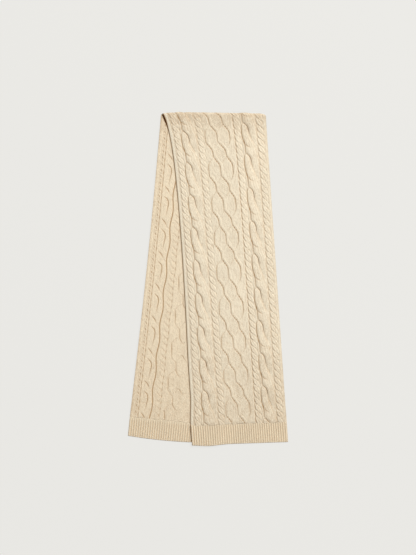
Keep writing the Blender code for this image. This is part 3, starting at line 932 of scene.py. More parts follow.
def rope_strand(border, repeat, first, gutter, strokes, drift, which):
    t = along_band((border + 10) * MM)
    share = ((drifted(t, drift) / MM - first) / repeat + which) % 2
    strength = np.interp(t / MM, STROKES_AT, strokes)
    at, *columns = np.array(ROPE_TABLE).T
    read = (softened(np.interp(share, at, values), t, ROPE_SOFTNESS) for values in columns)
    left_edge, right_edge, above, line = read
    line = line * np.where(share < GUTTER_ENDS, gutter, strength)
    note_furrow(t, (border + left_edge) * MM, line, ROPE_LINE)
    shows = between(share, *ROPE_COLUMNS_SHOW, ROPE_COLUMNS_SOFT)
    between_columns = strength * ROPE_COLUMNS_LINE * shows
    note_furrow(t, (border + (left_edge + right_edge) / 2) * MM, between_columns, 0.8 * ROPE_LINE)
    path = level_path((border + (left_edge + right_edge) / 2) * MM, t)
    crown = flattened(ROPE_CROWN + strength * above * MM, t)
    half_width = (right_edge - left_edge) / 2 * MM
    return knit_strand(path, half_width, crown, ROPE_STITCHES, CABLED_YARN, 0.0, ROPE_SIDES)


rope_strands = [rope_strand(*rope, which) for rope in ROPES for which in (0, 1)]
print(len(rope_strands), "rope strands, and", len(FURROWS), "furrows so far")

# %% [markdown]
# ## The honeycomb lattice
#
# Four strands travel over the middle of the cloth. Each one moves to the right over all the others, turns
# at the edge and comes back under them, so the lines that lead down to the right look unbroken. Where two
# strands meet, the lower one hides beneath the upper one for a few rows. That leaves rows of long cells
# between them.
#
# One trip across and back takes four repeats, so four strands that start one repeat apart fill every
# place.

# %% The course of a lattice strand
# The left edge of a strand on its trip across and back: (share of the repeats, place in mm, furrow)
LATTICE_TABLE = (
    (0.000, 95.6, 0.9),
    (0.053, 98.9, 0.9),
    (0.126, 104.2, 1.0),
    (0.210, 109.2, 1.0),
    (0.284, 111.3, 1.0),
    (0.350, 111.8, 0.85),
    (0.440, 112.2, 0.85),
    (0.526, 117.0, 1.0),
    (0.600, 121.2, 1.0),
    (0.663, 126.0, 1.0),
    (0.726, 128.0, 0.95),
    (0.800, 128.3, 0.8),
    (1.000, 128.4, 0.7),
    (1.073, 133.4, 0.9),
    (1.146, 139.2, 1.0),
    (1.220, 144.2, 1.0),
    (1.290, 147.0, 1.0),
    (1.350, 147.6, 0.9),
    (1.440, 148.0, 0.8),
    (1.494, 151.2, 1.0),
    (1.550, 154.4, 1.0),
    (1.610, 158.2, 1.0),
    (1.673, 161.2, 1.0),
    (1.735, 162.6, 0.95),
    (1.950, 162.6, 0.85),
    (2.020, 161.3, 0.7),
    (2.116, 157.0, 0.55),
    (2.180, 152.0, 0.35),
    (2.250, 148.0, 0.15),
    (2.470, 148.0, 0.35),
    (2.526, 143.0, 0.55),
    (2.590, 138.0, 0.5),
    (2.663, 133.0, 0.3),
    (2.736, 129.4, 0.1),
    (3.020, 128.6, 0.3),
    (3.073, 125.0, 0.45),
    (3.157, 120.0, 0.35),
    (3.230, 115.0, 0.2),
    (3.300, 112.0, 0.1),
    (3.480, 111.0, 0.4),
    (3.547, 104.2, 0.55),
    (3.610, 99.2, 0.7),
    (3.684, 96.5, 0.85),
    (3.757, 95.6, 0.9),
    (4.000, 95.6, 0.9),
)
print("A trip across and back has", len(LATTICE_TABLE), "places")

# %% [markdown]
# ## From the table to the lattice
#
# All four strands are equally wide, so their table has only the left edge. On its way to the right a strand
# lies a little higher than on its way back, and that settles which one goes over. Its furrow is beaded,
# because the rows pull at it in turn.

# %% The lattice
LATTICE_LEFT, LATTICE_RIGHT = 93.3 * MM, 173.4 * MM
LATTICE_REPEAT, LATTICE_FIRST = 95.1 * MM, 87.7 * MM
LATTICE_DRIFT = (5, 1, 0, 2, -1, 6, 3, 1)
LATTICE_STITCHES, LATTICE_HALF = 2, 4.6 * MM
# The crown's height, and what a strand gains where it goes over and loses where it goes under
LATTICE_CROWN, LATTICE_OVER, LATTICE_UNDER = 3.0 * MM, 0.2 * MM, -0.4 * MM
LATTICE_SIDES, CORNER_SOFTNESS = (5.0, 5.0), 3.0 * MM
LATTICE_LINE, LATTICE_REACH = 1.1, 1.7 * MM
# A strand begins a little left of its line in the table, its furrow lies beside it, and the furrow is beaded
LATTICE_SHIFT, LINE_BESIDE, LATTICE_BEADS = 0.3 * MM, 0.3 * MM, 0.25


def lattice_strand(which):
    t = along_band((LATTICE_LEFT + LATTICE_RIGHT) / 2)
    trip = ((drifted(t, LATTICE_DRIFT) - LATTICE_FIRST) / LATTICE_REPEAT + which) % 4
    shares, places, lines = np.array(LATTICE_TABLE).T
    left_edge = softened(np.interp(trip, shares, places) * MM, t, CORNER_SOFTNESS) - LATTICE_SHIFT
    beads = 1 - LATTICE_BEADS * (0.5 - 0.5 * np.cos(math.pi * t / ROW_HEIGHT))
    lines = softened(np.interp(trip, shares, lines), t, CORNER_SOFTNESS)
    note_furrow(t, left_edge + LINE_BESIDE, lines * beads * LATTICE_LINE, LATTICE_REACH)
    above = np.where(trip < 2, LATTICE_OVER, LATTICE_UNDER)
    crown = LATTICE_CROWN + softened(above, t, CORNER_SOFTNESS)
    path, crown = level_path(left_edge + LATTICE_HALF, t), flattened(crown, t)
    return knit_strand(path, LATTICE_HALF, crown, LATTICE_STITCHES, CABLED_YARN, 0.0, LATTICE_SIDES)


lattice_strands = [lattice_strand(which) for which in range(4)]

# %% [markdown]
# ## Laying the strands down
#
# A furrow often cuts into the strand of another band, so the strands are laid down only now, when all
# furrows are known. They become three pieces, one for each kind of pattern, because that is how a knitter
# thinks of them.

# %% Lay the strands down
front_cables = gather("front_cables", cable_strands, lay_upper, CABLED_YARN, front_marks)
front_ropes = gather("front_ropes", rope_strands, lay_upper, CABLED_YARN, front_marks)
front_lattice = gather("front_lattice", lattice_strands, lay_upper, CABLED_YARN, front_marks)

# %% [markdown]
# ## The ground
#
# The ground is the cloth itself. It shows in the gutters between the strands, as a plain band at each edge
# and inside the lattice's cells: knit stitches in the outer cells, and a pebbly seed stitch in the middle
# ones.
#
# It is a closed shell, built from lengthwise columns of points that are zipped together, neighbour to
# neighbour. A column has many points where the ground shows, and few where a cable hides it. The zip takes
# columns of unlike lengths, so the shell stays closed with no wasted faces.

# %% A shell from zipped columns
def zip_strip(first, second, first_at, second_at):
    """Triangles between two lines of points that run the same way."""
    first_middles = (first_at[1:] + first_at[:-1]) / 2
    second_middles = (second_at[1:] + second_at[:-1]) / 2
    reached = np.searchsorted(second_middles, first_middles, side="left")
    passed = np.searchsorted(first_middles, second_middles, side="right")
    one = np.stack([first[:-1], first[1:], second[reached]], axis=1)
    other = np.stack([second[1:], second[:-1], first[passed]], axis=1)
    return np.concatenate([one, other])


def column(s, t, height, hollow=0.5):
    """A lengthwise column of points: (s, t, height, stitch, row, hollow) rows."""
    values = (s, t, height, s / STITCH_WIDTH, t / ROW_HEIGHT, hollow)
    return np.stack([np.broadcast_to(value, t.shape) for value in values], axis=1)


def zipped_shell(name, top, inside, lay, material):
    """A closed shell from its columns, left to right, on top and inside."""
    loop = top + inside[::-1]
    starts = np.cumsum([0] + [len(line) for line in loop])
    ids = [np.arange(a, b) for a, b in zip(starts, starts[1:])]
    strips = []
    for k, line in enumerate(loop):
        after = (k + 1) % len(loop)
        strips.append(zip_strip(ids[k], ids[after], line[:, 1], loop[after][:, 1]))
    for end in (0, -1):
        upper = np.array([line[end] for line in ids[: len(top)]])
        under = np.array([line[end] for line in ids[len(top) :]])[::-1]
        upper_at = np.array([line[end, 0] for line in top])
        under_at = np.array([line[end, 0] for line in inside])
        cap = zip_strip(upper, under, upper_at, under_at)
        strips.append(cap if end == 0 else cap[:, ::-1])
    rows = np.concatenate(loop)
    faces = np.concatenate(strips)
    mesh = bpy.data.meshes.new(name)
    mesh.from_pydata(lay(rows[:, :3]).tolist(), [], faces.tolist())
    uv = mesh.uv_layers.new(name="UVMap")
    uv.data.foreach_set("uv", rows[faces.ravel()][:, 3:5].astype(np.float32).ravel())
    mesh.attributes.new("hollow", "FLOAT", "POINT")
    write_hollow(mesh, rows[:, 5])
    mesh.materials.append(material)
    return finished(name, mesh, f"{len(loop)} columns")


print("A column of the ground has a point every", round(ROW_HEIGHT / 2 / MM, 2), "mm where it shows")

# %% [markdown]
# ## How high the front's ground is
#
# One formula says how high each point of the ground is and how hollow it looks. It mixes three textures by
# place: seed stitch in the lattice's middle cells, knit at the edges, behind the cables and in the outer
# cells, and purl in the gutters between the bands.

# %% The front's ground: its height
GROUND_LEVEL, EDGE_LEVEL, CELL_LEVEL, BESIDE_CABLE = 3.4 * MM, 2.7 * MM, 4.1 * MM, 4.0 * MM
# At both long edges the cloth rolls down a little, and its edge band gets a painted highlight on the left and
# a little painted shade on the right
RIM, RIM_SOFTNESS, RIM_DROP, RIM_LIGHT_AND_SHADE = 2.6 * MM, 2.4 * MM, 1.4 * MM, (-0.3, 0.05)
KNIT_RELIEF, SEED_RELIEF, PURL_RELIEF = 0.9 * MM, 1.2 * MM, 0.8 * MM
# How low each texture stays between its rows, and every other seed stitch beside its neighbours
KNIT_LOW, PURL_LOW, SEED_LOW = 0.45, 0.7, 0.3
# Painted shade in the ground: at its lowest, less where yarn stands up, more in purl, and less in the cells
GROUND_HOLLOW, RAISED_TONE, PURL_TONE, CELL_TONE = 0.36, 0.42, 0.1, 0.08
# Where the lattice lies and where the plain edges end
LATTICE_FIELD, EDGE_BANDS, BAND_STEP = (92 * MM, 175 * MM), (7.5 * MM, 256 * MM), 2 * MM
# Phases of the lattice's cells, in shares of its repeat: strands have met, start to part, have parted
MET, PART, PARTED = 0.29, 0.45, 0.73
# The middle column of cells, in mm: its left edge where the strands are apart and where they have met, and
# its right edge
MIDDLE_CELLS = ((132.0, 118.0), (128.0, 147.0))


def envelope(t):
    """How far the lattice's strands have come together in their side pairs, 0 to 1."""
    phase = (drifted(t, LATTICE_DRIFT) - LATTICE_FIRST) / LATTICE_REPEAT % 1.0
    return smooth(phase / MET) - smooth((phase - PART) / (PARTED - PART))


def ground_height(s, t):
    """Height of the front's ground and how hollow it is."""
    stitch, row = s / STITCH_WIDTH, t / ROW_HEIGHT
    leg = np.abs(np.sin(math.tau * stitch))
    hump = np.abs(np.sin(math.pi * stitch))
    loop = np.abs(np.sin(math.pi * row))
    inward = 1 - 2 * np.abs(stitch % 1.0 - 0.5)
    checker = (np.floor(stitch) + np.floor(row)) % 2
    knit = LEG_SHARE * leg * lerp(KNIT_LOW, 1.0, loop) + (1 - LEG_SHARE) * inward
    seed = hump * loop * lerp(SEED_LOW, 1.0, checker)
    purl = loop * lerp(PURL_LOW, 1.0, hump)

    # Which texture lies where.
    sides = [lerp(apart, met, envelope(t)) * MM for apart, met in MIDDLE_CELLS]
    middle_cell = between(s, *sides, BAND_STEP)
    field = between(s, *LATTICE_FIELD, 3 * MM)
    edges = 1 - between(s, *EDGE_BANDS, BAND_STEP)
    cables = sum(between(s, left * MM, right * MM, BAND_STEP) for left, right, *_ in CABLE_BANDS)
    purled = np.clip(1 - field - edges - cables, 0, 1)
    knitted = 1 - middle_cell - purled
    texture = middle_cell * seed + knitted * knit + purled * purl
    relief = middle_cell * SEED_RELIEF * seed + knitted * KNIT_RELIEF * knit + purled * PURL_RELIEF * purl
    height = GROUND_LEVEL + relief + (CELL_LEVEL - GROUND_LEVEL) * field
    height = height + (BESIDE_CABLE - GROUND_LEVEL) * cables + (EDGE_LEVEL - GROUND_LEVEL) * edges
    height = height - RIM_DROP * (1 - between(s, RIM, WIDTH - RIM, RIM_SOFTNESS))
    hollow = GROUND_HOLLOW - RAISED_TONE * texture + PURL_TONE * purled - CELL_TONE * middle_cell
    # Painted highlight on the left edge band, a little painted shade on the right one
    hollow = hollow + edges * np.where(s < WIDTH / 2, *RIM_LIGHT_AND_SHADE)
    points = np.stack([s, t, height], axis=1)
    hollow = settled(points, hollow, front_marks(s, t))
    return points[:, 2], hollow


print("The middle cells are at most", MIDDLE_CELLS[1][1] - MIDDLE_CELLS[0][1], "mm wide")

# %% [markdown]
# ## The front's columns
#
# Now the columns are set across the strip, four to a stitch where the ground shows. Their points are
# pushed ahead in the middle of each stitch, as in the strands, so that the plain knit has its Vs too.

# %% The front's ground: its columns
COARSE_ROWS, COARSE_COLUMNS = 4, 2
# Where a cable covers the ground it can lie low
GROUND_HIDDEN = 1.2 * MM
# Where the ground meets the ribbing it is as high as the valleys there
HEM_LEVEL = 3.5 * MM
# Stretches across the cloth, in mm, where the strands leave some of the ground in sight
SHOWN = (
    (0.0, 11.0),
    (26.5, 38.5),
    (62.0, 77.0),
    (90.0, 177.0),
    (192.0, 205.0),
    (225.0, 239.0),
    (252.0, 261.4),
)


def dense(s):
    """Whether the ground shows at this place across the cloth."""
    return any(left * MM <= s <= right * MM for left, right in SHOWN)


def cloth_end(s):
    """The t at which the upper half's plain cloth ends, just inside the ribbing."""
    return float(upper_rib_line(s)) + HEM_TUCK / 2


def ground_column(s, fine):
    start, end = fold_start(s), cloth_end(s)
    step = ROW_HEIGHT / 2 if fine else ROW_HEIGHT * COARSE_ROWS
    first = math.ceil((start + 1 * MM) / step)
    t = np.arange(first, math.floor((end - 1 * MM) / step)) * step
    if not fine:
        around_nose = start + NOSE_ARC * np.linspace(0.12, 1.2, 8)
        t = np.union1d(t[t > around_nose[-1] + 2 * MM], around_nose)
    t = np.concatenate([[start], t, [end]])
    height, hollow = ground_height(np.full_like(t, s), t)
    height = lerp(np.minimum(height, HEM_LEVEL), height, smooth((end - t) / HEM_FLATTEN))
    points = column(s, t, height if fine else GROUND_HIDDEN, hollow)
    inward = 1 - 2 * abs(s / STITCH_WIDTH % 1.0 - 0.5)
    ahead = SLANT * ROW_HEIGHT * inward * fine
    points[1:-1, 1] = np.minimum(t[1:-1] + ahead, end - 0.2 * MM)
    return points


def ground_columns():
    quarter = STITCH_WIDTH / POINTS_PER_STITCH
    places = [k * quarter for k in range(int(WIDTH / quarter) + 1)] + [WIDTH]
    coarse = COARSE_COLUMNS * POINTS_PER_STITCH
    return [ground_column(s, dense(s)) for k, s in enumerate(places) if dense(s) or k % coarse == 0]


def inside_columns():
    columns = []
    for s in np.linspace(0, WIDTH, 18):
        bend = fold_start(s) + NOSE_ARC * np.linspace(0, 1.2, 9)
        t = np.concatenate([bend, np.linspace(bend[-1] + 6 * MM, cloth_end(s), 40)])
        columns.append(column(s, t, 0.0))
    return columns


front_cloth = zipped_shell("front_cloth", ground_columns(), inside_columns(), lay_upper, GROUND_YARN)

# %% [markdown]
# ## The wrong side
#
# The lower half shows its wrong side. Every knit stitch is a purl bump there, so the cables turn into
# faint bulges under rows of little ridges. Only the pull of the crossings shows: a hook-shaped crease at
# each one, short dashes behind the ropes, and wavy lines where the bands meet.

# %% The lines on the wrong side
# The length of a repeat and the place of the first one, in mm: cables, ropes and the lattice's cells
HOOK_REPEAT, HOOK_FIRST = 90.6, 144.8
BACK_ROPE_REPEAT = 17.78
CELL_REPEAT, CELL_FIRST = 93.2, 451.0
# Creases as (s, t past the first, strength) points, in mm. These two are at each crossing of a cable
HOOK = (
    (30.5, -5, 0.6),
    (36.0, -0.5, 1.0),
    (39.5, 2, 1.2),
    (42.0, 7, 1.2),
    (43.3, 13, 1.2),
    (43.2, 20, 1.1),
    (41.8, 31, 0.9),
    (40.4, 42, 0.6),
    (39.0, 54, 0.2),
)
NICK = (
    (28.5, -34, 0.6),
    (33.0, -30, 1.1),
    (38.0, -25, 1.3),
    (41.0, -20.5, 1.0),
    (44.0, -15, 0.4),
    (54.0, -6, 0.5),
)
# Dashes behind the ropes
INNER_DASH, INNER_DASH_END = ((13.6, -3.5, 1.1), (16.4, 1.5, 1.1)), ((14.0, 6.0, 0.7), (16.0, 9.0, 0.7))
OUTER_DASH = ((64.0, -6.0, 0.2), (69.0, -2.0, 0.45), (76.0, 4.5, 0.6))
# The outlines of the lattice's cells
CELL_LINES = (
    ((92.5, -6, 0.3), (93.5, 0, 0.8), (95.5, 14, 1.0), (96.5, 24, 0.8), (96.6, 33, 0.6), (98.5, 37, 0.5)),
    ((98.5, 37, 0.5), (101.0, 41, 0.45), (105.0, 44.5, 0.5), (109.0, 47, 0.6), (111.5, 52, 0.7)),
    ((111.5, 52, 0.7), (112.5, 60, 0.75), (113.2, 70, 0.9), (114.7, 75, 0.9), (117.5, 80, 0.8)),
    ((117.5, 80, 0.8), (121.5, 84.5, 0.7), (126.5, 89, 0.5)),
    ((122.5, 28, 0.5), (127.5, 29, 0.8), (131.0, 33, 0.8), (135.0, 38.5, 0.7), (141.0, 45, 0.4)),
    ((123.0, 29, 0.4), (119.0, 36, 0.35), (114.5, 43, 0.3)),
    ((111.0, 72, 0.3), (105.0, 76, 0.45), (98.5, 81, 0.4), (96.0, 86, 0.7)),
    ((134.0, 78, 0.2), (129.0, 84, 0.4), (127.5, 90, 0.5)),
)
# All of them: (points, reach, repeat, place of the first)
BACK_CREASES = (
    (INNER_DASH, 1.1, BACK_ROPE_REPEAT, -0.3),
    (INNER_DASH_END, 1.0, BACK_ROPE_REPEAT, -0.3),
    (OUTER_DASH, 1.7, BACK_ROPE_REPEAT, 13.5),
    (HOOK, 1.3, HOOK_REPEAT, HOOK_FIRST),
    (NICK, 1.2, HOOK_REPEAT, HOOK_FIRST),
    *((points, 1.5, CELL_REPEAT, CELL_FIRST) for points in CELL_LINES),
)
# Valleys between the bands: (place across, reach, strength), then how much stronger each bead is and where
# the first one lies, then how far the valley swings to each side, over which repeat and from where
BACK_VALLEYS = (
    ((10.5, 1.1, 0.4), (0.0, 0.0), (0.0, HOOK_REPEAT, 0.0)),
    ((15.7, 2.2, 0.25), (0.0, 0.0), (0.0, HOOK_REPEAT, 0.0)),
    ((21.6, 1.2, 0.9), (0.2, 4.5), (0.0, HOOK_REPEAT, 0.0)),
    ((56.3, 1.6, 1.2), (0.0, 0.0), (2.2, HOOK_REPEAT, 154.4)),
    ((80.6, 1.7, 0.55), (0.3, 2.0), (0.8, CELL_REPEAT, 500.0)),
)
# Bulges behind the bands: (place across, reach, height); the cable's comes and goes with its crossings
CABLE_SWELL, ROPE_SWELLS = (44.0, 12.0, 0.5), ((17.0, 5.0, 0.35), (70.0, 6.0, 0.35))
# Seed stitches that show through, painted as shadow, in mm: (left edge, right edge, start and end past the
# first cell, strength)
SEED_LADDERS = ((122.0, 133.0, 5.0, 26.0, 0.45), (101.0, 108.0, 58.0, 70.0, 0.35))
print("The wrong side has", len(BACK_CREASES), "creases that repeat and", len(BACK_VALLEYS), "valleys")

# %% [markdown]
# ## How high the wrong side is
#
# The purl bumps are one ridge for each row, arched a little over every stitch, with painted shade between
# them. The bulges lift them, and the valleys, the creases and the seed stitches' shadows cut into them and
# are painted in as shade as well.

# %% The wrong side's height
BACK_LEVEL, BACK_RIDGE, BACK_FURROWS = 2.9 * MM, 1.1 * MM, 0.7
# How far a ridge arches, in rows, and how blunt it is
ARCH, BLUNT = 0.22, 0.8
# Painted shade on the wrong side: how much between the ridges and how much less on them, then how far it
# reaches in from the left edge, the side away from the light, and how strong it is there
BACK_TONE, BACK_CONTRAST, BACK_EDGE, BACK_EDGE_SHADE = 0.40, 0.46, 8.0 * MM, 0.25
DEEPEST = 1.2


def wave(t, repeat, first):
    return np.sin(math.tau * (t / MM - first) / repeat)


def hill(s, middle, reach):
    return np.exp(-(((s / MM - middle) / reach) ** 2))


def back_swell(s, t):
    middle, reach, rise = CABLE_SWELL
    swell = rise * hill(s, middle, reach) * (0.5 + 0.5 * wave(t, HOOK_REPEAT, HOOK_FIRST))
    for middle, reach, rise in ROPE_SWELLS:
        swell = swell + rise * hill(s, middle, reach)
    return swell * MM


def back_depth(s, t, ridge):
    """How deep the wrong side's lines are, as grooves and as painted shade."""
    depth = np.zeros_like(s)
    for (place_at, reach, strength), (bead, first_bead), (swing, repeat, first) in BACK_VALLEYS:
        beads = strength + bead * wave(t, BACK_ROPE_REPEAT, first_bead - BACK_ROPE_REPEAT / 4)
        depth = np.maximum(depth, beads * hill(s, place_at + swing * wave(t, repeat, first), reach))
    for points, reach, repeat, first in BACK_CREASES:
        depth = np.maximum(depth, crease(s, t, points, reach * MM, repeat * MM, first * MM))
    phase = (t / MM - CELL_FIRST) % CELL_REPEAT
    for left, right, first, last, strength in SEED_LADDERS:
        inside = between(s / MM, left, right, 2) * between(phase, first, last, 2)
        depth = np.maximum(depth, strength * inside * (1 - ridge) ** 0.5)
    return np.clip(depth, 0.0, DEEPEST)


def back_height(s, t):
    """Height of the wrong side and how hollow it is."""
    arched_row = t / ROW_HEIGHT + ARCH * np.cos(math.tau * s / STITCH_WIDTH)
    ridge = np.abs(np.sin(math.pi * arched_row)) ** BLUNT
    depth = back_depth(s, t, ridge)
    points = np.stack([s, t, BACK_LEVEL + BACK_RIDGE * ridge + back_swell(s, t)], axis=1)
    # Painted shade along the left edge, the side away from the light
    painted_edge_shade = BACK_EDGE_SHADE * (1 - smooth(s / BACK_EDGE))
    hollow = settled(points, BACK_TONE - BACK_CONTRAST * ridge + painted_edge_shade, BACK_FURROWS * depth)
    return points[:, 2], np.clip(np.maximum(hollow, depth), 0, 1)


print("The wrong side's ridges are", BACK_RIDGE / MM, "mm high")

# %% [markdown]
# ## The wrong side's columns
#
# The upper half covers the lower one along a slanting line. So each column is fine only from a little
# before the place where it comes out from under the edge, and the columns that stay hidden are few.

# %% The back's cloth
# Where the upper half's edge crosses the lower half at the fold, and how far before it the columns turn fine
BACK_SHOWN_FROM, BACK_MARGIN = 31.0 * MM, 12.0 * MM
BACK_END = LOWER_RIB_START + HEM_TUCK / 2
FINE_STEP, COARSE_STEP = ROW_HEIGHT / 3, 14 * MM
# A column that never comes out turns fine only past its end
HIDDEN = 2 * BACK_END


def back_column(s, fine_from):
    start = float(np.interp(s, *LOWER_TURN))
    fine_from = max(fine_from, start + 1 * MM)
    coarse = np.arange(start + 8 * MM, min(fine_from, BACK_END) - 2 * MM, COARSE_STEP)
    fine = np.arange(math.ceil(fine_from / FINE_STEP), math.floor((BACK_END - 0.8 * MM) / FINE_STEP))
    t = np.concatenate([[start], coarse, fine * FINE_STEP, [BACK_END]])
    height, hollow = back_height(np.full_like(t, s), t)
    return column(s, t, np.where(t < fine_from, BACK_LEVEL, height), hollow)


def back_columns():
    slope = math.tan(UPPER_LEAN - LOWER_LEAN)
    quarter = STITCH_WIDTH / POINTS_PER_STITCH
    columns = []
    k = 0
    while k * quarter < WIDTH:
        fine_from = (k * quarter - BACK_SHOWN_FROM) / slope - BACK_MARGIN
        shows = fine_from < LOWER_RIB_START
        columns.append(back_column(k * quarter, fine_from if shows else HIDDEN))
        k += 1 if shows else COARSE_COLUMNS * POINTS_PER_STITCH
    return columns + [back_column(WIDTH, HIDDEN)]


def back_underside():
    columns = []
    for s in np.linspace(0, WIDTH, 12):
        columns.append(column(s, np.linspace(float(np.interp(s, *LOWER_TURN)), BACK_END, 40), 0.0))
    return columns


back_cloth = zipped_shell("back_cloth", back_columns(), back_underside(), lay_lower, WRONG_SIDE_YARN)

# %% [markdown]
# ## The ribbed hems
#
# Both ends of the strip are ribbing, one knit column and one purl column in turn, which looks the same
# from both sides. A rib is again a knitted strand, one stitch wide. It is knitted once and copied by a
# small tree, as instances on a line of points. Then the band is stretched lengthwise to lie between the
# line where the ribbing starts and the hem's own uneven end.

# %% The ribs
RIB_COUNTS = {"front": 42, "back": 40}
RIB_LENGTH, RIB_HALF, RIB_FLOOR, RIB_CROWN = 54.0 * MM, 2.05 * MM, 1.3 * MM, 2.2 * MM
# A rib thins towards the hem over this length, to this share of its height
RIB_THINS, RIB_THIN = 4 * MM, 0.55
# Ribbing is pulled tight, so it is less uneven than the rest
RIB_LOOSE = 0.3


def band_recipe():
    r = Recipe("Rib Band", Rib="Object", Ribs="Int", Pitch="Float", Material="Material")
    pitch = r.node("ShaderNodeCombineXYZ", X=r.inputs["Pitch"]).outputs[0]
    half = r.vector("SCALE", pitch, scale=0.5)
    line = r.node("GeometryNodeMeshLine", Count=r.inputs["Ribs"], Start_Location=half, Offset=pitch)
    rib = r.node("GeometryNodeObjectInfo", Object=r.inputs["Rib"]).outputs["Geometry"]
    copies = r.node("GeometryNodeInstanceOnPoints", Points=line.outputs[0], Instance=rib).outputs[0]
    return r.finish(copies)


BAND = band_recipe()


def rib_band(name, count, rib_line, end_line, lay):
    t = np.linspace(0.0, RIB_LENGTH, 28)
    path = level_path(np.zeros_like(t), t, RIB_FLOOR)
    thinned = lerp(RIB_THIN, 1.0, smooth((RIB_LENGTH - t) / RIB_THINS))
    rib = bpy.data.objects.new("rib", knit_strand(path, RIB_HALF, RIB_CROWN * thinned, 1, RIB_YARN))
    holder = bpy.data.objects.new("holder", bpy.data.meshes.new("holder"))
    for helper in (rib, holder):
        bpy.context.scene.collection.objects.link(helper)
    band = run_recipe(holder, BAND, Rib=rib, Ribs=count, Pitch=WIDTH / count, Material=RIB_YARN)
    for helper in (rib, holder):
        bpy.data.objects.remove(helper)

    def stretched(cloth):
        s, t, height = cloth.T
        return lay(np.stack([s, lerp(rib_line(s), end_line(s), t / RIB_LENGTH), height], axis=1))

    return gather(name, [band], stretched, RIB_YARN, loose=RIB_LOOSE, tone=0.0)


front_ribs = rib_band("front_ribs", RIB_COUNTS["front"], upper_rib_line, upper_end_line, lay_upper)
back_ribs = rib_band("back_ribs", RIB_COUNTS["back"], lower_rib_line, lower_end_line, lay_lower)

# %% [markdown]
# ## The valleys between the ribs
#
# The purl columns sink behind the knit ones, so between two ribs lies a valley with a small ridge for each
# row. It is a zipped shell again, with four columns of points to a rib: one under the rib, where it can
# lie low, one in the middle of the valley, and one on each side.

# %% The ground under the ribs
VALLEY_LEVEL, VALLEY_RIDGE, VALLEY_EDGE = 2.3 * MM, 0.45 * MM, 0.5 * MM
# Painted shade in a valley, how much less on its ridges, and how far the ridges lie askew across it
VALLEY_SHADE, VALLEY_CONTRAST, RIDGE_ASKEW = 0.66, 0.25, 0.6
# How far it dips at the hem, and over which last share of its length
VALLEY_DIP, DIP_SHARE = 0.5 * MM, 0.07
# Where the ribbing starts: how much its valleys rise, over which share of its length, and what share of
# their painted shade they keep there
FRONT_VALLEY_START, BACK_VALLEY_START = (0.4 * MM, 0.15, 0.8), (0.9 * MM, 0.25, 0.55)


def valley_column(k, s, t, edge, valley_start):
    """The k-th column of points, four to a rib."""
    rise, reach, tone = valley_start
    share = (t - t[0]) / (t[-1] - t[0])
    started = smooth(share / reach)
    ridge = np.abs(np.sin(math.pi * t / ROW_HEIGHT + (k % 4) * RIDGE_ASKEW))
    under_rib = k % 4 == 2
    valley = VALLEY_LEVEL + VALLEY_RIDGE * ridge + rise * (1 - started)
    dip = VALLEY_DIP * smooth((share - 1) / DIP_SHARE + 1)
    height = np.where(under_rib, RIB_FLOOR, valley) - dip + (VALLEY_EDGE if edge else 0.0)
    # Painted shade in the valley, less where the ribbing starts
    hollow = (VALLEY_SHADE - VALLEY_CONTRAST * ridge) * lerp(tone, 1.0, started)
    return column(s, t, height, hollow)


def rib_ground(name, count, rib_line, end_line, lay, valley_start):
    top, inside = [], []
    for k in range(4 * count + 1):
        s = k * WIDTH / count / 4
        start, end = float(rib_line(s)), float(end_line(s))
        t = np.linspace(start, end, 2 * round((end - start) / ROW_HEIGHT) + 1)
        top.append(valley_column(k, s, t, k in (0, 4 * count), valley_start))
    for s in np.linspace(0, WIDTH, 18):
        inside.append(column(s, np.linspace(float(rib_line(s)), float(end_line(s)), 5), 0.0))
    return zipped_shell(name, top, inside, lay, RIB_YARN)


FRONT_LINES, BACK_LINES = (upper_rib_line, upper_end_line), (lower_rib_line, lower_end_line)
front_rib_cloth = rib_ground(
    "front_rib_cloth", RIB_COUNTS["front"], *FRONT_LINES, lay_upper, FRONT_VALLEY_START
)
back_rib_cloth = rib_ground("back_rib_cloth", RIB_COUNTS["back"], *BACK_LINES, lay_lower, BACK_VALLEY_START)

# %% [markdown]
# ## The finished edges
#
# The long edges are chains: slipping the first stitch of each row makes one long V for every two rows. The
# ends are bound off, which makes a chain across the ribs. Both are the knitted strand again, one stitch
# wide, with rows as long as the chain's links.

# %% Chains along the edges
CHAIN_HALF, CHAIN_CROWN, CHAIN_LINK, CHAIN_LEG = 1.7 * MM, 1.3 * MM, 6.0 * MM, 0.5 * MM
# How far the chain's middle lies from the edge, and how high it lies on each half
CHAIN_IN, FRONT_CHAIN_FLOOR, BACK_CHAIN_FLOOR = 1.6 * MM, 0.3 * MM, 1.9 * MM
# Painted shade on the chains, which also sinks them a little: left and right on the front, and on the back
FRONT_CHAIN_SHADE, BACK_CHAIN_SHADE = (0.0, 0.45), 0.5


def edge_chain(s, start, end, floor_height):
    t = np.arange(start, end, 3 * MM)
    path = level_path(np.full_like(t, s), t, floor_height)
    sizes = {"Row_Height": CHAIN_LINK, "Leg_Height": CHAIN_LEG}
    return knit_strand(path, CHAIN_HALF, CHAIN_CROWN, 1, GROUND_YARN, **sizes)


# Painted shade on the front's chains: none on the left one, some on the right one
def front_chain_shade(s, t):
    return np.where(s < WIDTH / 2, *FRONT_CHAIN_SHADE)


# Painted shade on the back's chain, along the lower half's left edge, the side away from the light
def back_chain_shade(s, t):
    return BACK_CHAIN_SHADE


front_chains = [
    edge_chain(s, fold_start(s), float(upper_end_line(s)), FRONT_CHAIN_FLOOR)
    for s in (CHAIN_IN, WIDTH - CHAIN_IN)
]
back_chain_ends = float(np.interp(0.0, *LOWER_TURN)), float(lower_end_line(0.0))
back_chain = edge_chain(CHAIN_IN, *back_chain_ends, BACK_CHAIN_FLOOR)
front_edges = gather("front_edges", front_chains, lay_upper, GROUND_YARN, front_chain_shade)
back_edges = gather("back_edges", [back_chain], lay_lower, WRONG_SIDE_YARN, back_chain_shade)

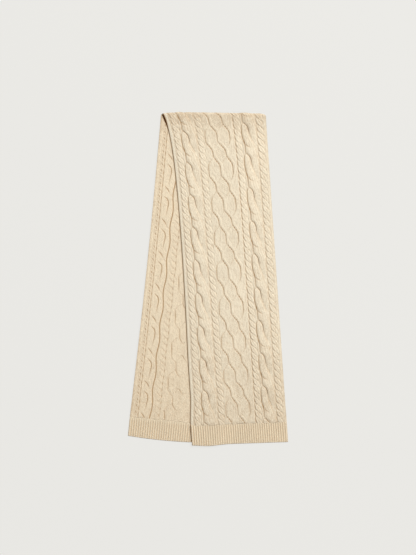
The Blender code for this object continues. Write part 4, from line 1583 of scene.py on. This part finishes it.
# %% [markdown]
# ## The bound-off ends
#
# A bind-off chain runs across the ribs. It rolls a little under, so its outer side lies in shade, which is
# painted onto it.

# %% Chains across the ends
BIND_HALF, BIND_CROWN, BIND_LINK, BIND_LEG = 1.9 * MM, 1.4 * MM, 3.2 * MM, 0.45 * MM
# How far it stays from the corners and from the very end, and how high it lies on each half
BIND_SIDE, BIND_IN, FRONT_BIND_FLOOR, BACK_BIND_FLOOR = 0.6 * MM, 1.2 * MM, 1.5 * MM, 1.4 * MM
# The painted shade on its outer side: its middle past the end line, its depth and its reach
BIND_OUT, EDGE_DEPTH, EDGE_REACH = 0.7 * MM, 1.35, 1.3 * MM


def bound_off(name, end_line, lay, floor_height):
    s = np.linspace(BIND_SIDE, WIDTH - BIND_SIDE, 90)
    path = level_path(s, end_line(s) - BIND_IN, floor_height)
    sizes = {"Row_Height": BIND_LINK, "Leg_Height": BIND_LEG, "Level": 0.0}
    chain = knit_strand(path, BIND_HALF, BIND_CROWN, 1, RIB_YARN, **sizes)

    def shaded_outer_side(s, t):
        return EDGE_DEPTH * np.exp(-(((t - end_line(s) - BIND_OUT) / EDGE_REACH) ** 2))

    return gather(name, [chain], lay, RIB_YARN, shaded_outer_side)


front_bind_off = bound_off("front_bind_off", upper_end_line, lay_upper, FRONT_BIND_FLOOR)
back_bind_off = bound_off("back_bind_off", lower_end_line, lay_lower, BACK_BIND_FLOOR)

# %% [markdown]
# ## Shade under the left edge
#
# Where the upper half's left edge lies on the lower half, hardly any light gets into the corner, and the
# thick yarn there looks brown. That shadow is painted: all pieces beside the edge are made more `hollow`,
# so the yarn there takes the painted shade.

# %% Shade beside the upper half's left edge
# The painted shadow: its middle past the edge, how far it reaches, and how deep it is
LEDGE_AT, LEDGE_REACH, LEDGE_STRENGTH = -0.7 * MM, 1.6 * MM, 1.05
# Near the fold the painted shadow widens and deepens into an almost black wedge under the upper one
WEDGE_FROM, WEDGE_LENGTH, WEDGE_STRENGTH = 22 * MM, 30 * MM, 1.2
WEDGE_SHIFT, WEDGE_WIDER = -0.6 * MM, 1.4 * MM


def shaded_beside_edge(piece):
    along = np.linspace(-10 * MM, 940 * MM, 200)
    edge_x, edge_y = upper_plan(np.zeros_like(along), along)
    x, y, _ = points_of(piece.data).T
    away = (x - np.interp(-y, -edge_y, edge_x)) * math.cos(UPPER_LEAN)
    wedge = 1 - smooth((from_fold(x, y) - WEDGE_FROM) / WEDGE_LENGTH)
    reach = LEDGE_REACH + WEDGE_WIDER * wedge
    strength = LEDGE_STRENGTH + WEDGE_STRENGTH * wedge
    shade = strength * np.exp(-(((away - LEDGE_AT - WEDGE_SHIFT * wedge) / reach) ** 2))
    hollow = read_hollow(piece.data)
    write_hollow(piece.data, np.maximum(hollow, shade))
    print(f"{piece.name}: {np.mean(shade > hollow):.0%} of its points are in the edge's shade")


for piece in (front_cloth, front_edges, back_cloth, front_rib_cloth, front_ribs, back_rib_cloth, back_ribs):
    shaded_beside_edge(piece)

# %% [markdown]
# ## Telling the frame what each piece is
#
# Every piece is hung on the body that it rides on, and the solids that it stands for are hidden. A scarf
# has no joint, so all pieces ride on `root`. The upper half's cloth, strands and edges run on round the
# fold, so they stand for two solids.

# %% Pieces and solids
CABLED_PIECES = (front_cables, front_ropes, front_lattice, front_edges)
for piece in (front_cloth, *CABLED_PIECES):
    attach(piece, "root")
    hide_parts("front_panel", "top_fold")
for piece in (back_cloth, back_edges):
    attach(piece, "root")
    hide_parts("back_panel")
FRONT_RIB_PIECES = (front_rib_cloth, front_ribs, front_bind_off)
for piece in (*FRONT_RIB_PIECES, back_rib_cloth, back_ribs, back_bind_off):
    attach(piece, "root")
    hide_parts("front_rib_hem" if piece in FRONT_RIB_PIECES else "back_rib_hem")
print("All pieces ride on root")

# %% [markdown]
# ## The table
#
# The scarf lies on a plain pale surface. Most of its tone is its own glow, so that it stays even and takes
# hardly any shadow from the scarf. It belongs to the stage and isn't part of the scarf.

# %% Table
FLOOR_COLOUR, FLOOR_GLOW = (0.823, 0.815, 0.784, 1.0), 0.872
FLOOR_REFLECTED = (0.10, 0.099, 0.096, 1.0)
bpy.ops.mesh.primitive_plane_add(size=24.0, location=(0.0, 0.0, -0.05 * MM))
table = bpy.context.object
table.name = "table"
paper = Finish("pale_table")
paper_look = {
    "Base Color": FLOOR_REFLECTED,
    "Roughness": 1.0,
    "Specular IOR Level": 0.0,
    "Emission Color": FLOOR_COLOUR,
    "Emission Strength": FLOOR_GLOW,
}
for label, value in paper_look.items():
    paper.feed(paper.shader.inputs[label], value)
table.data.materials.append(paper.material)
print("The table is", table.dimensions.x, "m wide")

# %% [markdown]
# ## The sheets
#
# The four shells are the cloth itself, so each is listed as a sheet: the size that its stretch of the
# strip has when flat, what it lies on, and the strands that it carries with it.

# %% Sheets
SHEETS = (
    (front_cloth, (WIDTH, 0.892), ["back_cloth", "table"], CABLED_PIECES),
    (front_rib_cloth, (WIDTH, 0.056), ["back_rib_cloth", "table"], (front_ribs, front_bind_off)),
    (back_cloth, (WIDTH, 0.852), ["table"], (back_edges,)),
    (back_rib_cloth, (WIDTH, 0.051), ["table"], (back_ribs, back_bind_off)),
)
for cloth, flat, under, carried in SHEETS:
    print(f"{cloth.name}: {flat[0]:.3f} by {flat[1]:.3f} m when flat")

# %% [markdown]
# ## The light
#
# The light is soft and comes from the upper right, so the strands that lead down to the right have a thin
# shadow on their left. A bright surrounding fills the rest, because knitting with black hollows looks like
# wire.

# %% Light
KEY_PLACE, KEY_SIZE, KEY_POWER, KEY_COLOUR = (3.5, 4.0, 5.2), 2.4, 445.0, (1.0, 0.995, 0.985)
FILL_COLOUR, FILL_STRENGTH = (1.0, 0.99, 0.97, 1.0), 0.51
key_light = bpy.data.lights.new("key", "AREA")
key_light.shape = "DISK"
key_light.size = KEY_SIZE
key_light.energy = KEY_POWER
key_light.color = KEY_COLOUR
key = bpy.data.objects.new("key", key_light)
key.location = KEY_PLACE
# An area light shines along its own -Z, so it is turned until that points at the scarf
key.rotation_euler = (-key.location).to_track_quat("-Z", "Y").to_euler()
bpy.context.scene.collection.objects.link(key)
world = bpy.data.worlds.new("studio")
bpy.context.scene.world = world
world.use_nodes = True
background = world.node_tree.nodes["Background"]
background.inputs["Color"].default_value = FILL_COLOUR
background.inputs["Strength"].default_value = FILL_STRENGTH
print("The key light stands", round(key.location.length, 2), "m away")

# %% [markdown]
# ## The camera
#
# A scarf on a table is looked at from straight above. The camera is 5 m up, so the cloth's few millimetres
# of height hardly shift anything, and its lens is chosen from the size that one pixel has on the table.

# %% Camera
FRAME_PIXELS, PIXEL = (416, 555), 2.784 * MM
CAMERA_PLACE, SENSOR = (-0.6 * MM, 3.9 * MM, 5.0), 36.0
camera_data = bpy.data.cameras.new("overhead")
camera_data.sensor_width = SENSOR
camera_data.lens = SENSOR * CAMERA_PLACE[2] / (FRAME_PIXELS[1] * PIXEL)
camera = bpy.data.objects.new("overhead", camera_data)
camera.location = CAMERA_PLACE
bpy.context.scene.collection.objects.link(camera)
bpy.context.scene.camera = camera
bpy.context.scene.view_settings.view_transform = "Standard"
print("The lens is", round(camera_data.lens, 1), "mm long")
